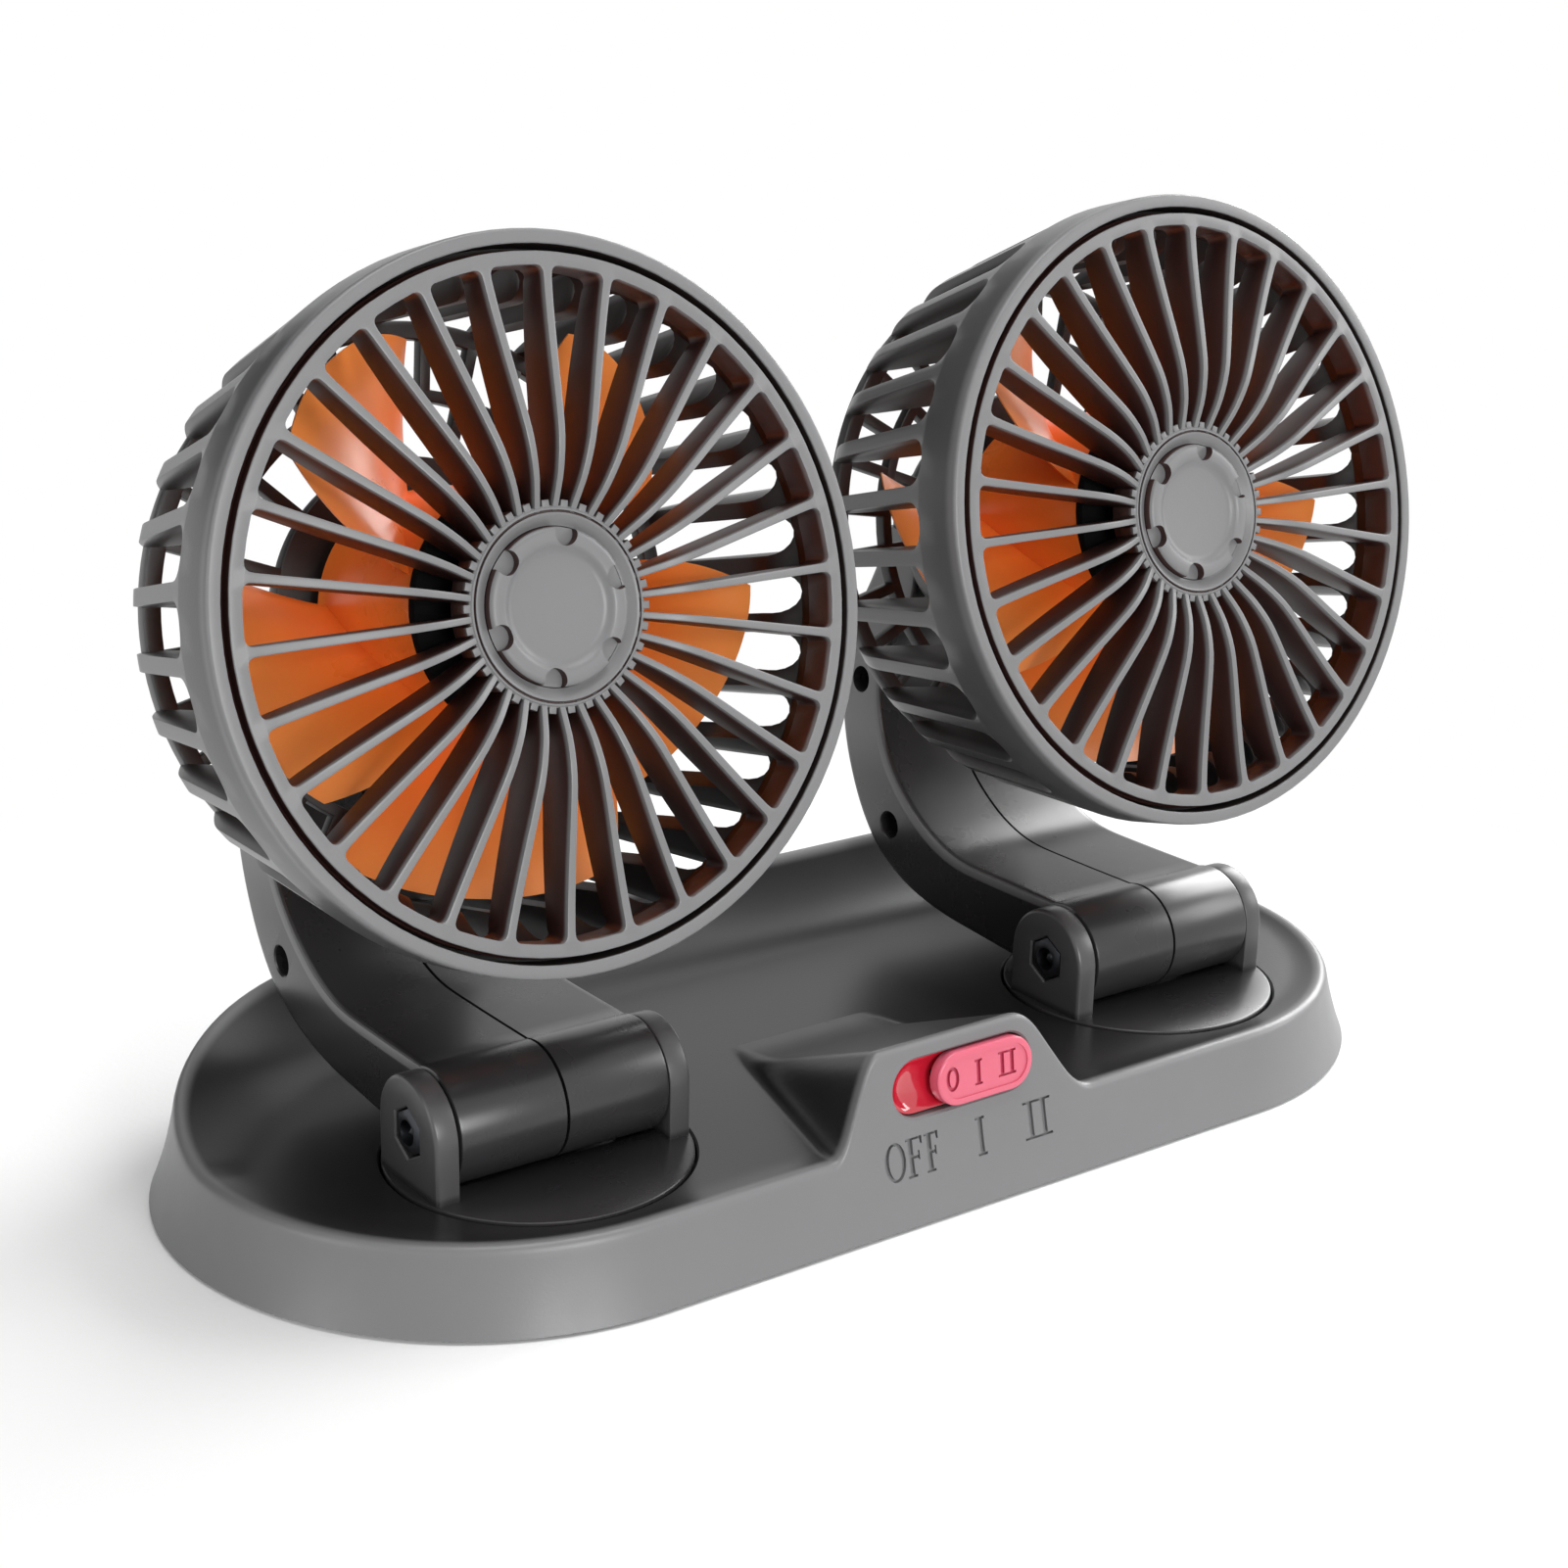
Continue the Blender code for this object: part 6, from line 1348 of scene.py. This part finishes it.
table = bpy.data.materials.new("paper_white")
table.use_nodes = True
tree = table.node_tree
tree.nodes.clear()
place = add_node(tree, "ShaderNodeTexCoord").outputs["Object"]
fibres = add_node(tree, "ShaderNodeTexNoise", {"Vector": place, "Scale": 900.0}).outputs["Fac"]
relief = add_node(tree, "ShaderNodeBump", {
    "Height": fibres, "Distance": 0.00005}).outputs["Normal"]
paper = add_node(tree, "ShaderNodeBsdfDiffuse", {"Color": linear("#F2F2F2"), "Normal": relief})
bright = add_node(tree, "ShaderNodeEmission", {"Color": linear("#FFFFFF"), "Strength": 1.0})
distance = add_node(tree, "ShaderNodeVectorMath", {0: place}, operation="LENGTH").outputs["Value"]
far = add_node(tree, "ShaderNodeMapRange", {
    "Value": distance, "From Min": 0.09, "From Max": 0.23},
    interpolation_type="SMOOTHSTEP").outputs["Result"]
share = add_node(tree, "ShaderNodeMath", {
    0: far, 1: not_lighting(tree)}, operation="MULTIPLY").outputs[0]
top = add_node(tree, "ShaderNodeMixShader", {0: share, 1: paper.outputs[0], 2: bright.outputs[0]})
add_node(tree, "ShaderNodeOutputMaterial", {"Surface": top.outputs[0]})
stage_sheet(
    "table_top", [(x, y, -0.0002) for x, y in oblong(-3, -3, 3, 3)], [(0, 1, 2, 3)], table)

world = bpy.data.worlds.new("white_sky")
world.use_nodes = True
bpy.context.scene.world = world
tree = world.node_tree
tree.nodes.clear()
level = add_node(tree, "ShaderNodeMapRange", {
    "Value": not_lighting(tree), "To Min": 0.38, "To Max": 1.0}).outputs["Result"]
sky = add_node(tree, "ShaderNodeBackground", {"Color": linear("#FFFFFF"), "Strength": level})
add_node(tree, "ShaderNodeOutputWorld", {"Surface": sky.outputs[0]})

lamp("overhead", (0.05, -0.1, 1.2), (0.0, 0.0, 0.06), (0.9, 0.7), 8.0)
lamp("right", (1.15, -0.6, 0.55), (0.0, 0.0, 0.06), (0.5, 0.5), 5.0)
lamp("rim", (0.86, 0.22, 0.5), (-0.06, 0.0, 0.12), (0.6, 0.5), 10.0)
lamp("left", (-1.15, -0.1, 0.35), (0.0, 0.0, 0.06), (0.4, 0.5), 2.2)
lamp("front", (-0.1, -1.2, 0.36), (0.0, 0.0, 0.08), (0.5, 0.4), 8.0)

card = bpy.data.materials.new("black_velvet_card")
card.use_nodes = True
tree = card.node_tree
shader = tree.nodes["Principled BSDF"]
pile = add_node(tree, "ShaderNodeTexNoise", {
    "Vector": add_node(tree, "ShaderNodeTexCoord").outputs["Object"], "Scale": 700.0})
tone = add_node(tree, "ShaderNodeMix", {
    "Factor": pile.outputs["Fac"], 6: linear("#050505"), 7: linear("#101010")},
    data_type="RGBA")
tree.links.new(tone.outputs[2], shader.inputs["Base Color"])
shader.inputs["Roughness"].default_value = 0.95
shader.inputs["Specular IOR Level"].default_value = 0.0
black_card = stage_sheet(
    "black_card", [
        (-1.1, 0.25, 0.22), (-0.75, 0.95, 0.22), (0.12, 1.15, 0.22), (0.12, 1.15, 1.3),
        (-0.75, 0.95, 1.3), (-1.1, 0.25, 1.3), (0.12, 1.15, 0.5), (0.46, 1.05, 0.5),
        (0.46, 1.05, 1.3), (0.8, 0.88, 0.5), (1.15, 0.6, 0.5), (1.15, 0.6, 1.3),
        (0.8, 0.88, 1.3)], [(0, 1, 4, 5), (1, 2, 3, 4), (6, 7, 8, 3), (9, 10, 11, 12)], card)
black_card.visible_camera = False

CAMERA_PLACE = (-0.25766, -0.34302, 0.19809)
YAW, PITCH, ROLL = math.radians(36.54), math.radians(18.12), math.radians(1.33)
forward = Vector((
    math.sin(YAW) * math.cos(PITCH), math.cos(YAW) * math.cos(PITCH), -math.sin(PITCH)))
level_right = Vector((math.cos(YAW), -math.sin(YAW), 0.0))
level_up = level_right.cross(forward)
right = math.cos(ROLL) * level_right + math.sin(ROLL) * level_up
up = math.cos(ROLL) * level_up - math.sin(ROLL) * level_right
lens = bpy.data.cameras.new("camera")
lens.lens = 59.36
lens.sensor_width = 36.0
camera = bpy.data.objects.new("camera", lens)
camera.matrix_world = Matrix.Translation(CAMERA_PLACE) @ Matrix(
    (right, up, -forward)).transposed().to_4x4()
bpy.context.scene.collection.objects.link(camera)
bpy.context.scene.camera = camera
bpy.context.scene.view_settings.view_transform = "Standard"
